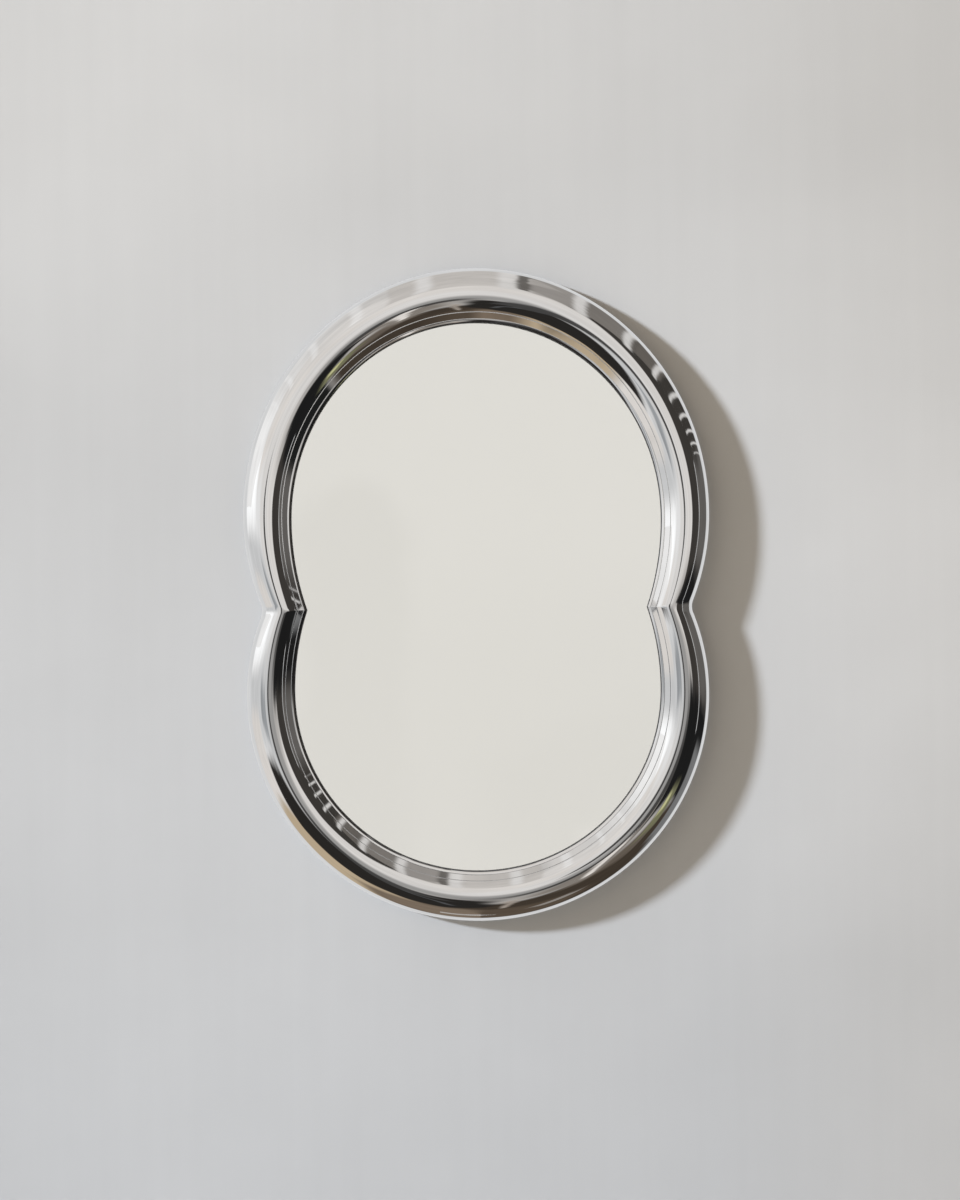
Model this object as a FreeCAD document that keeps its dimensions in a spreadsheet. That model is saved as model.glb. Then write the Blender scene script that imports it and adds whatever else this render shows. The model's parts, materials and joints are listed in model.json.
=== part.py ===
import FreeCAD, Part

import math
import os

import Sketcher
from FreeCAD import Placement, Rotation, Vector

# A wall mirror whose outline is two rounded lobes that meet at a waist.
#
# Units are millimetres. The finished part stands upright: +X is to the right, +Z is up, the wall
# is the plane Y = 0 and the front faces -Y. The origin lies on the wall, halfway up the mirror.
#
# Every piece is first modelled lying on its back, with X to the right, Y up the mirror and Z as
# the depth off the wall, and is then turned upright. Outlines are named by their margin, which is
# the distance outside the sight edge, measured at the widest point of a lobe.

document = FreeCAD.newDocument("two_lobed_wall_mirror")
sizes = document.addObject("Spreadsheet::Sheet", "sizes")

UPRIGHT = Placement(Vector(0, 0, 0), Rotation(Vector(1, 0, 0), 90))
ORIGIN = Vector(0, 0, 0)

DRIVING_SIZES = {
    # the rim, which is the outer outline
    "rim_half_width": 250,
    "lower_lobe_inset": 2,
    "waist_inset": 21,
    "rim_top_height": 350,
    "rim_bottom_drop": 350,
    "rim_upper_wide_height": 86,
    "rim_lower_wide_drop": 107,
    "waist_drop": 15,
    "waist_rounding": 19,
    # the band of metal between the rim and the sight edge
    "side_band": 52,
    "top_band": 59,
    "bottom_band": 54,
    "waist_band": 47,
    "wide_point_shift": 5,
    # the rolled section of the band, as depths off the wall
    "back_depth": 2,
    "rim_land": 3,
    "crown_depth": 30,
    "crown_margin": 29,
    "step_margin": 9.9,
    "step_slope": 45,
    "step_width": 0.6,
    "lip_width": 4.1,
    "lip_rise": 1.8,
    "lip_thickness": 1.5,
    "bead_swell": 0.25,
    "sharp_crease_margin": 13,
    "crease_rounding": 0.5,
    "casting_wall": 4,
    # the glass and what holds it
    "glass_thickness": 3,
    "glass_margin": 5,
    "glass_clearance": 1.5,
    "glass_corner": 4,
    "tape_thickness": 0.5,
    "tape_width": 3.5,
    "tape_margin": 1.2,
    "pad_length": 24,
    "pad_offset": 75,
    "pad_play": 0.1,
    "foam_thickness": 1,
    "foam_margin": 3.5,
    "board_thickness": 3,
    "board_recess": 3,
    "board_margin": 17.5,
    "board_clearance": 0.5,
    "ledge_wall": 4,
    # board screws
    "board_screw_diameter": 3.5,
    "board_screw_length": 10,
    "board_screw_head": 6.6,
    "board_screw_head_height": 2.1,
    "board_screw_margin": 12.2,
    "screw_play": 0.06,
    "screw_point_room": 1.5,
    # bumpers between the frame and the wall
    "bumper_diameter": 12,
    "bumper_seat_depth": 0.6,
    "bumper_play": 0.25,
    "bumper_boss": 17,
    "bumper_edge": 0.5,
    # hangers in the hollow back
    "hanger_height": 104,
    "hanger_seat_depth": 7,
    "hanger_boss": 11,
    "strap_width": 12,
    "strap_length": 31,
    "strap_thickness": 1.2,
    "strap_corner": 3,
    "eye_wall": 1,
    "eye_lift": 0.3,
    "ring_wire": 2.4,
    "ring_play": 0.05,
    "ring_width": 20,
    "ring_length": 17,
    "ring_bend": 2.4,
    "hanger_screw_diameter": 4,
    "hanger_screw_length": 10,
    "hanger_screw_head": 7,
    "hanger_screw_head_height": 2.2,
    "hanger_screw_drop": 8.6,
    "hanger_screw_pitch": 16,
}

for row, (alias, number) in enumerate(DRIVING_SIZES.items(), start=1):
    sizes.set(f"A{row}", alias)
    sizes.set(f"B{row}", str(number))
    sizes.setAlias(f"B{row}", alias)
document.recompute()


def size(alias):
    """A driving dimension, as a number."""
    return float(sizes.get(alias))


# depths off the wall that follow from the driving dimensions, each with its formula in the sheet
DERIVED_SIZES = {
    "board_back_depth": "=back_depth + board_recess",
    "board_front_depth": "=board_back_depth + board_thickness",
    "glass_back_depth": "=board_front_depth + foam_thickness",
    "glass_front_depth": "=glass_back_depth + glass_thickness",
    "lip_depth": "=glass_front_depth + tape_thickness",
    "sight_depth": "=lip_depth + lip_thickness",
    "lip_step_depth": "=sight_depth + lip_rise",
    "spring_depth": "=back_depth + rim_land",
    "glass_rebate_margin": "=glass_margin + glass_clearance",
    "board_rebate_margin": "=board_margin + board_clearance",
    "hollow_margin": "=board_rebate_margin + ledge_wall",
    "hollow_middle_margin": "=(hollow_margin + side_band - casting_wall) / 2",
    "eye_bore_radius": "=ring_wire / 2 + ring_play",
    "eye_radius": "=eye_bore_radius + eye_wall",
    "ring_depth": "=hanger_seat_depth - eye_lift - eye_radius",
}
for row, (alias, formula) in enumerate(DERIVED_SIZES.items(), start=len(DRIVING_SIZES) + 1):
    sizes.set(f"A{row}", alias)
    sizes.set(f"B{row}", formula)
    sizes.setAlias(f"B{row}", alias)
document.recompute()


# ---------------------------------------------------------------- outlines of the two lobes


def outline_sizes(margin):
    """Half widths and heights of the outline at this margin, between the sight edge and the rim."""
    inset = size("side_band") - margin
    share = inset / size("side_band")
    shift = size("wide_point_shift") * share
    return {
        "upper_half_width": size("rim_half_width") - inset,
        "lower_half_width": size("rim_half_width") - size("lower_lobe_inset") - inset,
        "waist_half_width": (size("rim_half_width") - size("waist_inset")
                             - size("waist_band") * share),
        "top": size("rim_top_height") - size("top_band") * share,
        "bottom": -size("rim_bottom_drop") + size("bottom_band") * share,
        "upper_wide": size("rim_upper_wide_height") - shift,
        "lower_wide": -size("rim_lower_wide_drop") + shift,
    }


def shoulder(half_width, wide_height, waist_half_width):
    """Centre and radius of the arc that is upright at the wide point and reaches the waist."""
    drop = abs(wide_height + size("waist_drop"))
    inset = half_width - waist_half_width
    radius = (drop**2 + inset**2) / (2 * inset)
    return Vector(half_width - radius, wide_height, 0), radius


def waist_radius(margin):
    """The crease is sharp on the inner flank and rounds off over the roll, fully at the rim."""
    start = size("sharp_crease_margin")
    reach = max(0, margin - start) / (size("side_band") - start)
    return max(size("crease_rounding"), size("waist_rounding") * reach * (2 - reach))


def quarter_oval(half_width, rise, centre_height, first_angle):
    """A quarter of an ellipse on the right side, from a unit arc stretched both ways."""
    circle = Part.Circle(ORIGIN, Vector(0, 0, 1), 1)
    arc = Part.ArcOfCircle(circle, first_angle, first_angle + math.pi / 2).toBSpline()
    for number, pole in enumerate(arc.getPoles(), start=1):
        arc.setPole(number, Vector(pole.x * half_width, pole.y * rise + centre_height, 0))
    return arc.toShape()


def outline_wire(margin, smallest_rounding=0):
    """The closed outline at this margin: two half ovals, four shoulder arcs and two waist arcs."""
    outline = outline_sizes(margin)
    upper_centre, upper_radius = shoulder(
        outline["upper_half_width"], outline["upper_wide"], outline["waist_half_width"])
    lower_centre, lower_radius = shoulder(
        outline["lower_half_width"], outline["lower_wide"], outline["waist_half_width"])
    rounding = max(waist_radius(margin), smallest_rounding)

    # the waist arc touches both shoulders from outside
    reach_upper = upper_radius + rounding
    reach_lower = lower_radius + rounding
    between = upper_centre - lower_centre
    along = (between.Length**2 + reach_lower**2 - reach_upper**2) / (2 * between.Length)
    across = math.sqrt(reach_lower**2 - along**2)
    direction = between / between.Length
    outward = Vector(direction.y, -direction.x, 0)
    waist_centre = lower_centre + direction * along + outward * across

    def toward(start, end, distance):
        return start + (end - start) / (end - start).Length * distance

    upper_touch = toward(upper_centre, waist_centre, upper_radius)
    lower_touch = toward(lower_centre, waist_centre, lower_radius)
    waist_middle = toward(waist_centre, (upper_touch + lower_touch) / 2, rounding)
    upper_wide_point = upper_centre + Vector(upper_radius, 0, 0)
    lower_wide_point = lower_centre + Vector(lower_radius, 0, 0)
    upper_middle = toward(upper_centre, (upper_touch + upper_wide_point) / 2, upper_radius)
    lower_middle = toward(lower_centre, (lower_touch + lower_wide_point) / 2, lower_radius)

    right_side = [
        quarter_oval(outline["lower_half_width"], outline["lower_wide"] - outline["bottom"],
                     outline["lower_wide"], -math.pi / 2),
        Part.Arc(lower_wide_point, lower_middle, lower_touch).toShape(),
        Part.Arc(lower_touch, waist_middle, upper_touch).toShape(),
        Part.Arc(upper_touch, upper_middle, upper_wide_point).toShape(),
        quarter_oval(outline["upper_half_width"], outline["top"] - outline["upper_wide"],
                     outline["upper_wide"], 0),
    ]
    left_side = [edge.mirror(ORIGIN, Vector(1, 0, 0)) for edge in right_side]
    return Part.Wire(Part.__sortEdges__(right_side + left_side))


def outline_point(margin, lobe, angle):
    """The point at this angle round the half oval of a lobe: 0 is its right wide point."""
    outline = outline_sizes(margin)
    wide = outline[lobe + "_wide"]
    rise = outline["top"] - wide if lobe == "upper" else wide - outline["bottom"]
    turn = math.radians(angle)
    return Vector(outline[lobe + "_half_width"] * math.cos(turn), wide + rise * math.sin(turn), 0)


# ---------------------------------------------------------------- document objects


def outline(name, margin, depth, smallest_rounding=0):
    """An outline as an object of the document, at this depth off the wall."""
    feature = document.addObject("Part::Feature", name)
    feature.Shape = outline_wire(margin, smallest_rounding)
    feature.Placement = Placement(Vector(0, 0, depth), Rotation())
    return feature


def slab(name, margin, back, front, smallest_rounding=0):
    """A flat plate of the outline at this margin, between two depths named in the sheet."""
    edge = outline(name + "_outline", size(margin) if isinstance(margin, str) else margin, 0,
                   smallest_rounding)
    plate = document.addObject("Part::Extrusion", name)
    plate.Base = edge
    plate.DirMode = "Custom"
    plate.Dir = Vector(0, 0, 1)
    plate.Solid = True
    plate.setExpression("LengthFwd", f"sizes.{front} - sizes.{back}")
    edge.setExpression("Placement.Base.z", f"sizes.{back}")
    return plate


def loft(name, stations):
    """A solid through the outlines at these (margin, depth) stations, ruled from each to the next.

    Ruled strips keep the section exactly on the stations and are light to mesh.
    """
    sections = []
    for number, (margin, depth) in enumerate(stations, start=1):
        sections.append(outline(f"{name}_{number}", margin, depth))
    body = document.addObject("Part::Loft", name)
    body.Sections = sections
    body.Solid = True
    body.Ruled = True
    body.Closed = False
    return body


def cylinder(name, radius, height, point, depth):
    """A round peg or hole along the depth, its radius, height and depth bound to the sheet."""
    peg = document.addObject("Part::Cylinder", name)
    peg.setExpression("Radius", radius)
    peg.setExpression("Height", height)
    peg.Placement = Placement(point, Rotation())
    peg.setExpression("Placement.Base.z", depth)
    return peg


def cut(name, base, tool):
    result = document.addObject("Part::Cut", name)
    result.Base = base
    result.Tool = tool
    return result


def fuse(name, pieces):
    result = document.addObject("Part::MultiFuse", name)
    result.Shapes = pieces
    return result


def common(name, first, second):
    result = document.addObject("Part::MultiCommon", name)
    result.Shapes = [first, second]
    return result


def plane_of(body, role):
    """One of a body's own origin planes."""
    for feature in body.Origin.OriginFeatures:
        if feature.Role == role:
            return feature
    raise ValueError(role)


def sketch_on(body, name, role):
    sketch = body.newObject("Sketcher::SketchObject", name)
    sketch.AttachmentSupport = [(plane_of(body, role), "")]
    sketch.MapMode = "FlatFace"
    return sketch


parts = {}


def keep(node, piece, placement=UPRIGHT):
    """Names a finished sub-part after its node and stands it upright."""
    piece.Label = node
    piece.Placement = placement
    parts[node] = piece


# ---------------------------------------------------------------- where the fastenings go

SCREW_ANGLES = {"upper": [0, 45, 90, 135, 180], "lower": [180, 225, 270, 315, 360]}
BUMPER_ANGLES = {"upper_right": 45, "upper_left": 135, "lower_left": 225, "lower_right": 315}

board_screw_points = [
    outline_point(size("board_screw_margin"), lobe, angle)
    for lobe, angles in SCREW_ANGLES.items() for angle in angles
]
bumper_points = {
    corner: outline_point(size("hollow_middle_margin"), corner.split("_")[0], angle)
    for corner, angle in BUMPER_ANGLES.items()
}
hanger_side = outline_point(size("hollow_middle_margin"), "upper", 0).x
hanger_points = {
    "right": Vector(hanger_side, size("hanger_height"), 0),
    "left": Vector(-hanger_side, size("hanger_height"), 0),
}


def hanger_screw_points(side):
    """The two screws of a strap, one under the other below its eye."""
    first = hanger_points[side] - Vector(0, size("hanger_screw_drop"), 0)
    return [first, first - Vector(0, size("hanger_screw_pitch"), 0)]


# ---------------------------------------------------------------- the rolled metal frame

# strips of the roll outside and inside its crown, on its front and in its hollow back
FRONT_STRIPS = (6, 4)
BACK_STRIPS = (3, 1)


def roll_stations(wall, inner_margin, strips):
    """Stations over the roll, or over its inside when a wall is given.

    Outside the crown the section is a quarter of an oval that stands upright at the rim. Inside
    the crown it is an arc that falls away until it has the slope of the step.
    """
    crown = size("crown_margin")
    spring = size("spring_depth")
    width = size("side_band") - crown - wall
    height = size("crown_depth") - spring - wall
    flank_radius = (crown - size("step_margin")) / math.sin(math.radians(size("step_slope"))) - wall
    end_slope = math.asin((crown - inner_margin) / flank_radius)
    outer_strips, inner_strips = strips
    stations = []
    for number in range(outer_strips + 1):
        angle = math.pi / 2 * number / outer_strips
        stations.append((crown + width * math.cos(angle), spring + height * math.sin(angle)))
    for number in range(1, inner_strips + 1):
        angle = end_slope * number / inner_strips
        stations.append((crown - flank_radius * math.sin(angle),
                         spring + height - flank_radius * (1 - math.cos(angle))))
    return stations


rim_wall = slab("rim_wall", "side_band", "back_depth", "spring_depth")
outer_stations = roll_stations(0, size("step_margin"), FRONT_STRIPS)
step_depth = outer_stations[-1][1]
roll = loft("roll", outer_stations)
blank = fuse("blank", [rim_wall, roll])

# inside the roll the band steps down twice to the glass: a bead, and then the narrow lip


def bead(name, outer_margin, outer_depth, inner_margin, inner_depth):
    """A funnel whose wall swells slightly, as a bead, between two outlines."""
    middle_margin = (outer_margin + inner_margin) / 2
    middle_depth = (outer_depth + inner_depth) / 2 + size("bead_swell")
    return loft(name, [(outer_margin, outer_depth), (middle_margin, middle_depth),
                       (inner_margin, inner_depth)])


band_funnel = bead("band_funnel", size("step_margin") - size("step_width"), step_depth,
                   size("lip_width"), size("lip_step_depth"))
lip_funnel = bead("lip_funnel", size("lip_width") - size("step_width"), size("lip_step_depth"),
                  0, size("sight_depth"))
sight_hole = document.addObject("Part::Extrusion", "sight_hole")
sight_hole.Base = outline("sight_hole_outline", 0, 0)
sight_hole.DirMode = "Custom"
sight_hole.Dir = Vector(0, 0, 1)
sight_hole.Solid = True
sight_hole.setExpression("LengthFwd", "sizes.sight_depth")

glass_rebate = slab("glass_rebate", "glass_rebate_margin", "back_depth", "lip_depth",
                    size("glass_corner"))
board_rebate = slab("board_rebate", "board_rebate_margin", "back_depth", "board_front_depth",
                    size("glass_corner"))

# the hollow back: the inside of the roll less its core, with bosses left standing in it
hollow_mouth_outline = outline("hollow_mouth_outline", size("side_band") - size("casting_wall"), 0)
hollow_mouth_outline.setExpression("Placement.Base.z", "sizes.back_depth")
hollow_mouth = document.addObject("Part::Extrusion", "hollow_mouth")
hollow_mouth.Base = hollow_mouth_outline
hollow_mouth.DirMode = "Custom"
hollow_mouth.Dir = Vector(0, 0, 1)
hollow_mouth.Solid = True
hollow_mouth.setExpression("LengthFwd", "sizes.rim_land")
hollow_roll = loft("hollow_roll", roll_stations(size("casting_wall"), size("hollow_margin"),
                                                BACK_STRIPS))
hollow_core = slab("hollow_core", "hollow_margin", "back_depth", "crown_depth",
                   size("glass_corner"))
bosses = [hollow_core]
for corner, point in bumper_points.items():
    bosses.append(cylinder(f"{corner}_bumper_boss", "sizes.bumper_boss / 2",
                           "sizes.crown_depth - sizes.back_depth", point, "sizes.back_depth"))
for side in hanger_points:
    for number, point in enumerate(hanger_screw_points(side), start=1):
        bosses.append(cylinder(f"{side}_hanger_boss_{number}", "sizes.hanger_boss / 2",
                               "sizes.crown_depth - sizes.hanger_seat_depth", point,
                               "sizes.hanger_seat_depth"))
hollow_full = fuse("hollow_full", [hollow_mouth, hollow_roll])
hollow = cut("hollow", hollow_full, fuse("standing_bosses", bosses))

holes = []
for number, point in enumerate(board_screw_points, start=1):
    holes.append(cylinder(
        f"board_screw_hole_{number}", "sizes.board_screw_diameter / 2 + sizes.screw_play",
        "sizes.board_screw_length - sizes.board_thickness + sizes.screw_point_room", point,
        "sizes.board_front_depth"))
for side in hanger_points:
    for number, point in enumerate(hanger_screw_points(side), start=1):
        holes.append(cylinder(
            f"{side}_hanger_hole_{number}", "sizes.hanger_screw_diameter / 2 + sizes.screw_play",
            "sizes.hanger_screw_length - sizes.strap_thickness + sizes.screw_point_room", point,
            "sizes.hanger_seat_depth"))
for corner, point in bumper_points.items():
    holes.append(cylinder(f"{corner}_bumper_seat", "sizes.bumper_diameter / 2 + sizes.bumper_play",
                          "sizes.bumper_seat_depth", point, "sizes.back_depth"))

openings = fuse("openings", [band_funnel, lip_funnel, sight_hole, glass_rebate, board_rebate])
bored = cut("bored_blank", blank, openings)
hollowed = cut("hollowed_blank", bored, hollow)
keep("frame", cut("frame_casting", hollowed, fuse("drillings", holes)))

# ---------------------------------------------------------------- glass, tape, pads, foam, board

glass_corner = size("glass_corner")
keep("mirror_glass", slab("glass_plate", "glass_margin", "glass_back_depth", "glass_front_depth",
                          glass_corner))

tape_outer = slab("tape_outer", size("tape_margin") + size("tape_width"), "glass_front_depth",
                  "lip_depth", glass_corner)
tape_inner = slab("tape_inner", "tape_margin", "glass_front_depth", "lip_depth")
keep("glazing_tape", cut("tape_ring", tape_outer, tape_inner))

for side, direction in (("left", -1), ("right", 1)):
    pad_outer = slab(f"{side}_pad_outer", size("glass_rebate_margin") - size("pad_play"),
                     "glass_back_depth", "glass_front_depth", glass_corner)
    pad_inner = slab(f"{side}_pad_inner", size("glass_margin") + size("pad_play"),
                     "glass_back_depth", "glass_front_depth", glass_corner)
    pad_ring = cut(f"{side}_pad_ring", pad_outer, pad_inner)
    pad_span = document.addObject("Part::Box", f"{side}_pad_span")
    pad_span.setExpression("Length", "sizes.pad_length")
    pad_span.setExpression("Width", "sizes.rim_bottom_drop")
    pad_span.setExpression("Height", "sizes.crown_depth")
    pad_span.setExpression("Placement.Base.x",
                           f"{direction} * sizes.pad_offset - sizes.pad_length / 2")
    pad_span.setExpression("Placement.Base.y", "-sizes.rim_bottom_drop")
    keep(f"{side}_setting_pad", common(f"{side}_pad", pad_ring, pad_span))

keep("foam_sheet", slab("foam_plate", "foam_margin", "board_front_depth", "glass_back_depth",
                        glass_corner))

board_plate = slab("board_plate", "board_margin", "board_back_depth", "board_front_depth",
                   glass_corner)
board_holes = []
for number, point in enumerate(board_screw_points, start=1):
    board_holes.append(cylinder(
        f"board_hole_{number}", "sizes.board_screw_diameter / 2 + sizes.screw_play",
        "sizes.board_thickness", point, "sizes.board_back_depth"))
keep("backing_board", cut("drilled_board", board_plate, fuse("board_drillings", board_holes)))

# ---------------------------------------------------------------- screws


# a pan head: how wide its flat top is and how high its upright side, as shares of the head
HEAD_FLAT_SHARE = 0.64
HEAD_SIDE_SHARE = 0.35


def screw(name, diameter, length, head, head_height):
    """A pan-head screw turned about Z: the head's underside is at 0 and the shank points up."""
    body = document.addObject("PartDesign::Body", name)
    profile = sketch_on(body, name + "_profile", "XZ_Plane")
    corners = [
        (0, -size(head_height)),
        (size(head) / 2 * HEAD_FLAT_SHARE, -size(head_height)),
        (size(head) / 2, -size(head_height) * HEAD_SIDE_SHARE),
        (size(head) / 2, 0),
        (size(diameter) / 2, 0),
        (size(diameter) / 2, size(length)),
        (0, size(length)),
    ]
    for number, (radius, height) in enumerate(corners):
        next_radius, next_height = corners[(number + 1) % len(corners)]
        profile.addGeometry(Part.LineSegment(Vector(radius, height, 0),
                                             Vector(next_radius, next_height, 0)), False)
    document.recompute()
    turned = body.newObject("PartDesign::Revolution", name + "_turned")
    turned.Profile = profile
    turned.ReferenceAxis = (profile, ["V_Axis"])
    turned.Angle = 360
    body.Tip = turned
    document.recompute()
    return body


def screw_group(name, pattern, points, depth):
    """Copies of one screw, kept as separate solids of one node."""
    group = document.addObject("Part::Feature", name)
    copies = []
    for point in points:
        copy = pattern.Shape.copy()
        copy.Placement = Placement(Vector(point.x, point.y, depth), Rotation())
        copies.append(copy)
    group.Shape = Part.makeCompound(copies)
    return group


board_screw = screw("board_screw", "board_screw_diameter", "board_screw_length",
                    "board_screw_head", "board_screw_head_height")
keep("board_screws", screw_group("board_screw_group", board_screw, board_screw_points,
                                 size("board_back_depth")))

hanger_screw = screw("hanger_screw", "hanger_screw_diameter", "hanger_screw_length",
                     "hanger_screw_head", "hanger_screw_head_height")
hanger_screw_places = hanger_screw_points("left") + hanger_screw_points("right")
keep("hanger_screws", screw_group("hanger_screw_group", hanger_screw, hanger_screw_places,
                                  size("hanger_seat_depth") - size("strap_thickness")))

# ---------------------------------------------------------------- bumpers


def bumper(corner):
    """A rubber button whose outer face touches the wall."""
    body = document.addObject("PartDesign::Body", f"{corner}_bumper_body")
    profile = sketch_on(body, f"{corner}_bumper_profile", "XY_Plane")
    circle = profile.addGeometry(Part.Circle(ORIGIN, Vector(0, 0, 1), size("bumper_diameter") / 2))
    profile.addConstraint(Sketcher.Constraint("Coincident", circle, 3, -1, 1))
    round_size = profile.addConstraint(Sketcher.Constraint("Diameter", circle,
                                                           size("bumper_diameter")))
    profile.setExpression(f"Constraints[{round_size}]", "sizes.bumper_diameter")
    button = body.newObject("PartDesign::Pad", f"{corner}_bumper_button")
    button.Profile = profile
    button.setExpression("Length", "sizes.back_depth + sizes.bumper_seat_depth")
    document.recompute()
    rounded = body.newObject("PartDesign::Chamfer", f"{corner}_bumper_rounded")
    wall_edges = [f"Edge{number}" for number, edge in enumerate(button.Shape.Edges, start=1)
                  if edge.BoundBox.ZMax < size("bumper_edge")]
    rounded.Base = (button, wall_edges)
    rounded.setExpression("Size", "sizes.bumper_edge")
    body.Tip = rounded
    return body


for corner, point in bumper_points.items():
    keep(f"{corner}_bumper", bumper(corner), UPRIGHT * Placement(point, Rotation()))

# ---------------------------------------------------------------- hangers


def strap(side):
    """A strap with two screw holes, its eye curled at the top end round the ring's wire."""
    body = document.addObject("PartDesign::Body", f"{side}_strap_body")
    seat = size("eye_radius") + size("eye_lift")
    half = size("strap_width") / 2
    corner = size("strap_corner")
    bottom = -size("strap_length")

    plate_profile = sketch_on(body, f"{side}_strap_profile", "XY_Plane")
    plate_profile.addGeometry([
        Part.LineSegment(Vector(-half, 0, 0), Vector(-half, bottom + corner, 0)),
        Part.Arc(Vector(-half, bottom + corner, 0),
                 Vector(-half + corner * (1 - math.sqrt(0.5)),
                        bottom + corner * (1 - math.sqrt(0.5)), 0),
                 Vector(-half + corner, bottom, 0)),
        Part.LineSegment(Vector(-half + corner, bottom, 0), Vector(half - corner, bottom, 0)),
        Part.Arc(Vector(half - corner, bottom, 0),
                 Vector(half - corner * (1 - math.sqrt(0.5)),
                        bottom + corner * (1 - math.sqrt(0.5)), 0),
                 Vector(half, bottom + corner, 0)),
        Part.LineSegment(Vector(half, bottom + corner, 0), Vector(half, 0, 0)),
        Part.LineSegment(Vector(half, 0, 0), Vector(-half, 0, 0)),
    ], False)
    plate_profile.AttachmentOffset = Placement(Vector(0, 0, seat), Rotation())
    plate = body.newObject("PartDesign::Pad", f"{side}_strap_plate")
    plate.Profile = plate_profile
    plate.setExpression("Length", "sizes.strap_thickness")
    plate.Reversed = True
    document.recompute()

    eye_profile = sketch_on(body, f"{side}_eye_profile", "YZ_Plane")
    eye_profile.addGeometry(Part.Circle(ORIGIN, Vector(0, 0, 1), size("eye_radius")))
    eye = body.newObject("PartDesign::Pad", f"{side}_eye")
    eye.Profile = eye_profile
    eye.Midplane = True
    eye.setExpression("Length", "sizes.strap_width")
    document.recompute()

    bore_profile = sketch_on(body, f"{side}_bore_profile", "YZ_Plane")
    bore_profile.addGeometry(Part.Circle(ORIGIN, Vector(0, 0, 1), size("eye_bore_radius")))
    bore = body.newObject("PartDesign::Pocket", f"{side}_eye_bore")
    bore.Profile = bore_profile
    bore.Midplane = True
    bore.Type = "ThroughAll"
    document.recompute()

    hole_profile = sketch_on(body, f"{side}_hole_profile", "XY_Plane")
    for point in hanger_screw_points(side):
        hole_profile.addGeometry(Part.Circle(
            point - hanger_points[side], Vector(0, 0, 1),
            size("hanger_screw_diameter") / 2 + size("screw_play")))
    hole = body.newObject("PartDesign::Pocket", f"{side}_screw_holes")
    hole.Profile = hole_profile
    hole.Midplane = True
    hole.Type = "ThroughAll"
    body.Tip = hole
    document.recompute()
    return body


def ring(side):
    """A D ring of round wire: a straight bar in the eye, short legs and a round bow below."""
    body = document.addObject("PartDesign::Body", f"{side}_ring_body")
    half = (size("ring_width") - size("ring_wire")) / 2
    bend = size("ring_bend")
    bow_centre = -(size("ring_length") - size("ring_wire") - half)
    slant = math.sqrt(0.5)
    path = sketch_on(body, f"{side}_ring_path", "XY_Plane")
    path.addGeometry([
        Part.LineSegment(Vector(-half + bend, 0, 0), Vector(half - bend, 0, 0)),
        Part.Arc(Vector(half - bend, 0, 0),
                 Vector(half - bend * (1 - slant), -bend * (1 - slant), 0),
                 Vector(half, -bend, 0)),
        Part.LineSegment(Vector(half, -bend, 0), Vector(half, bow_centre, 0)),
        Part.Arc(Vector(half, bow_centre, 0), Vector(0, bow_centre - half, 0),
                 Vector(-half, bow_centre, 0)),
        Part.LineSegment(Vector(-half, bow_centre, 0), Vector(-half, -bend, 0)),
        Part.Arc(Vector(-half, -bend, 0),
                 Vector(-half + bend * (1 - slant), -bend * (1 - slant), 0),
                 Vector(-half + bend, 0, 0)),
    ], False)
    wire_profile = sketch_on(body, f"{side}_wire_profile", "YZ_Plane")
    wire_profile.addGeometry(Part.Circle(ORIGIN, Vector(0, 0, 1), size("ring_wire") / 2))
    document.recompute()
    sweep = body.newObject("PartDesign::AdditivePipe", f"{side}_ring_sweep")
    sweep.Profile = wire_profile
    sweep.Spine = (path, [f"Edge{number}" for number in range(1, 7)])
    body.Tip = sweep
    document.recompute()
    return body


for side, point in hanger_points.items():
    eye_place = UPRIGHT * Placement(Vector(point.x, point.y, size("ring_depth")), Rotation())
    keep(f"{side}_hanger_strap", strap(side), eye_place)
    keep(f"{side}_hanger_ring", ring(side), eye_place)

# ---------------------------------------------------------------- checks and export

document.recompute()
for entry in document.Objects:
    if "Invalid" in entry.State or "Error" in entry.State:
        raise RuntimeError(f"{entry.Name} failed: {entry.State}")
for node, piece in parts.items():
    if piece.Shape.isNull() or not piece.Shape.isValid():
        raise RuntimeError(f"{node} has no valid shape")

os.makedirs("parts", exist_ok=True)
for node, piece in parts.items():
    piece.Shape.exportStep(f"parts/{node}.step")
    box = piece.Shape.BoundBox
    print(f"{node}: {len(piece.Shape.Solids)} solids, {piece.Shape.Volume / 1000:.2f} cm3, "
          f"X {box.XMin:.1f} {box.XMax:.1f}, Y {box.YMin:.1f} {box.YMax:.1f}, "
          f"Z {box.ZMin:.1f} {box.ZMax:.1f}")
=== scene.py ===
import json
import math

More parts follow.
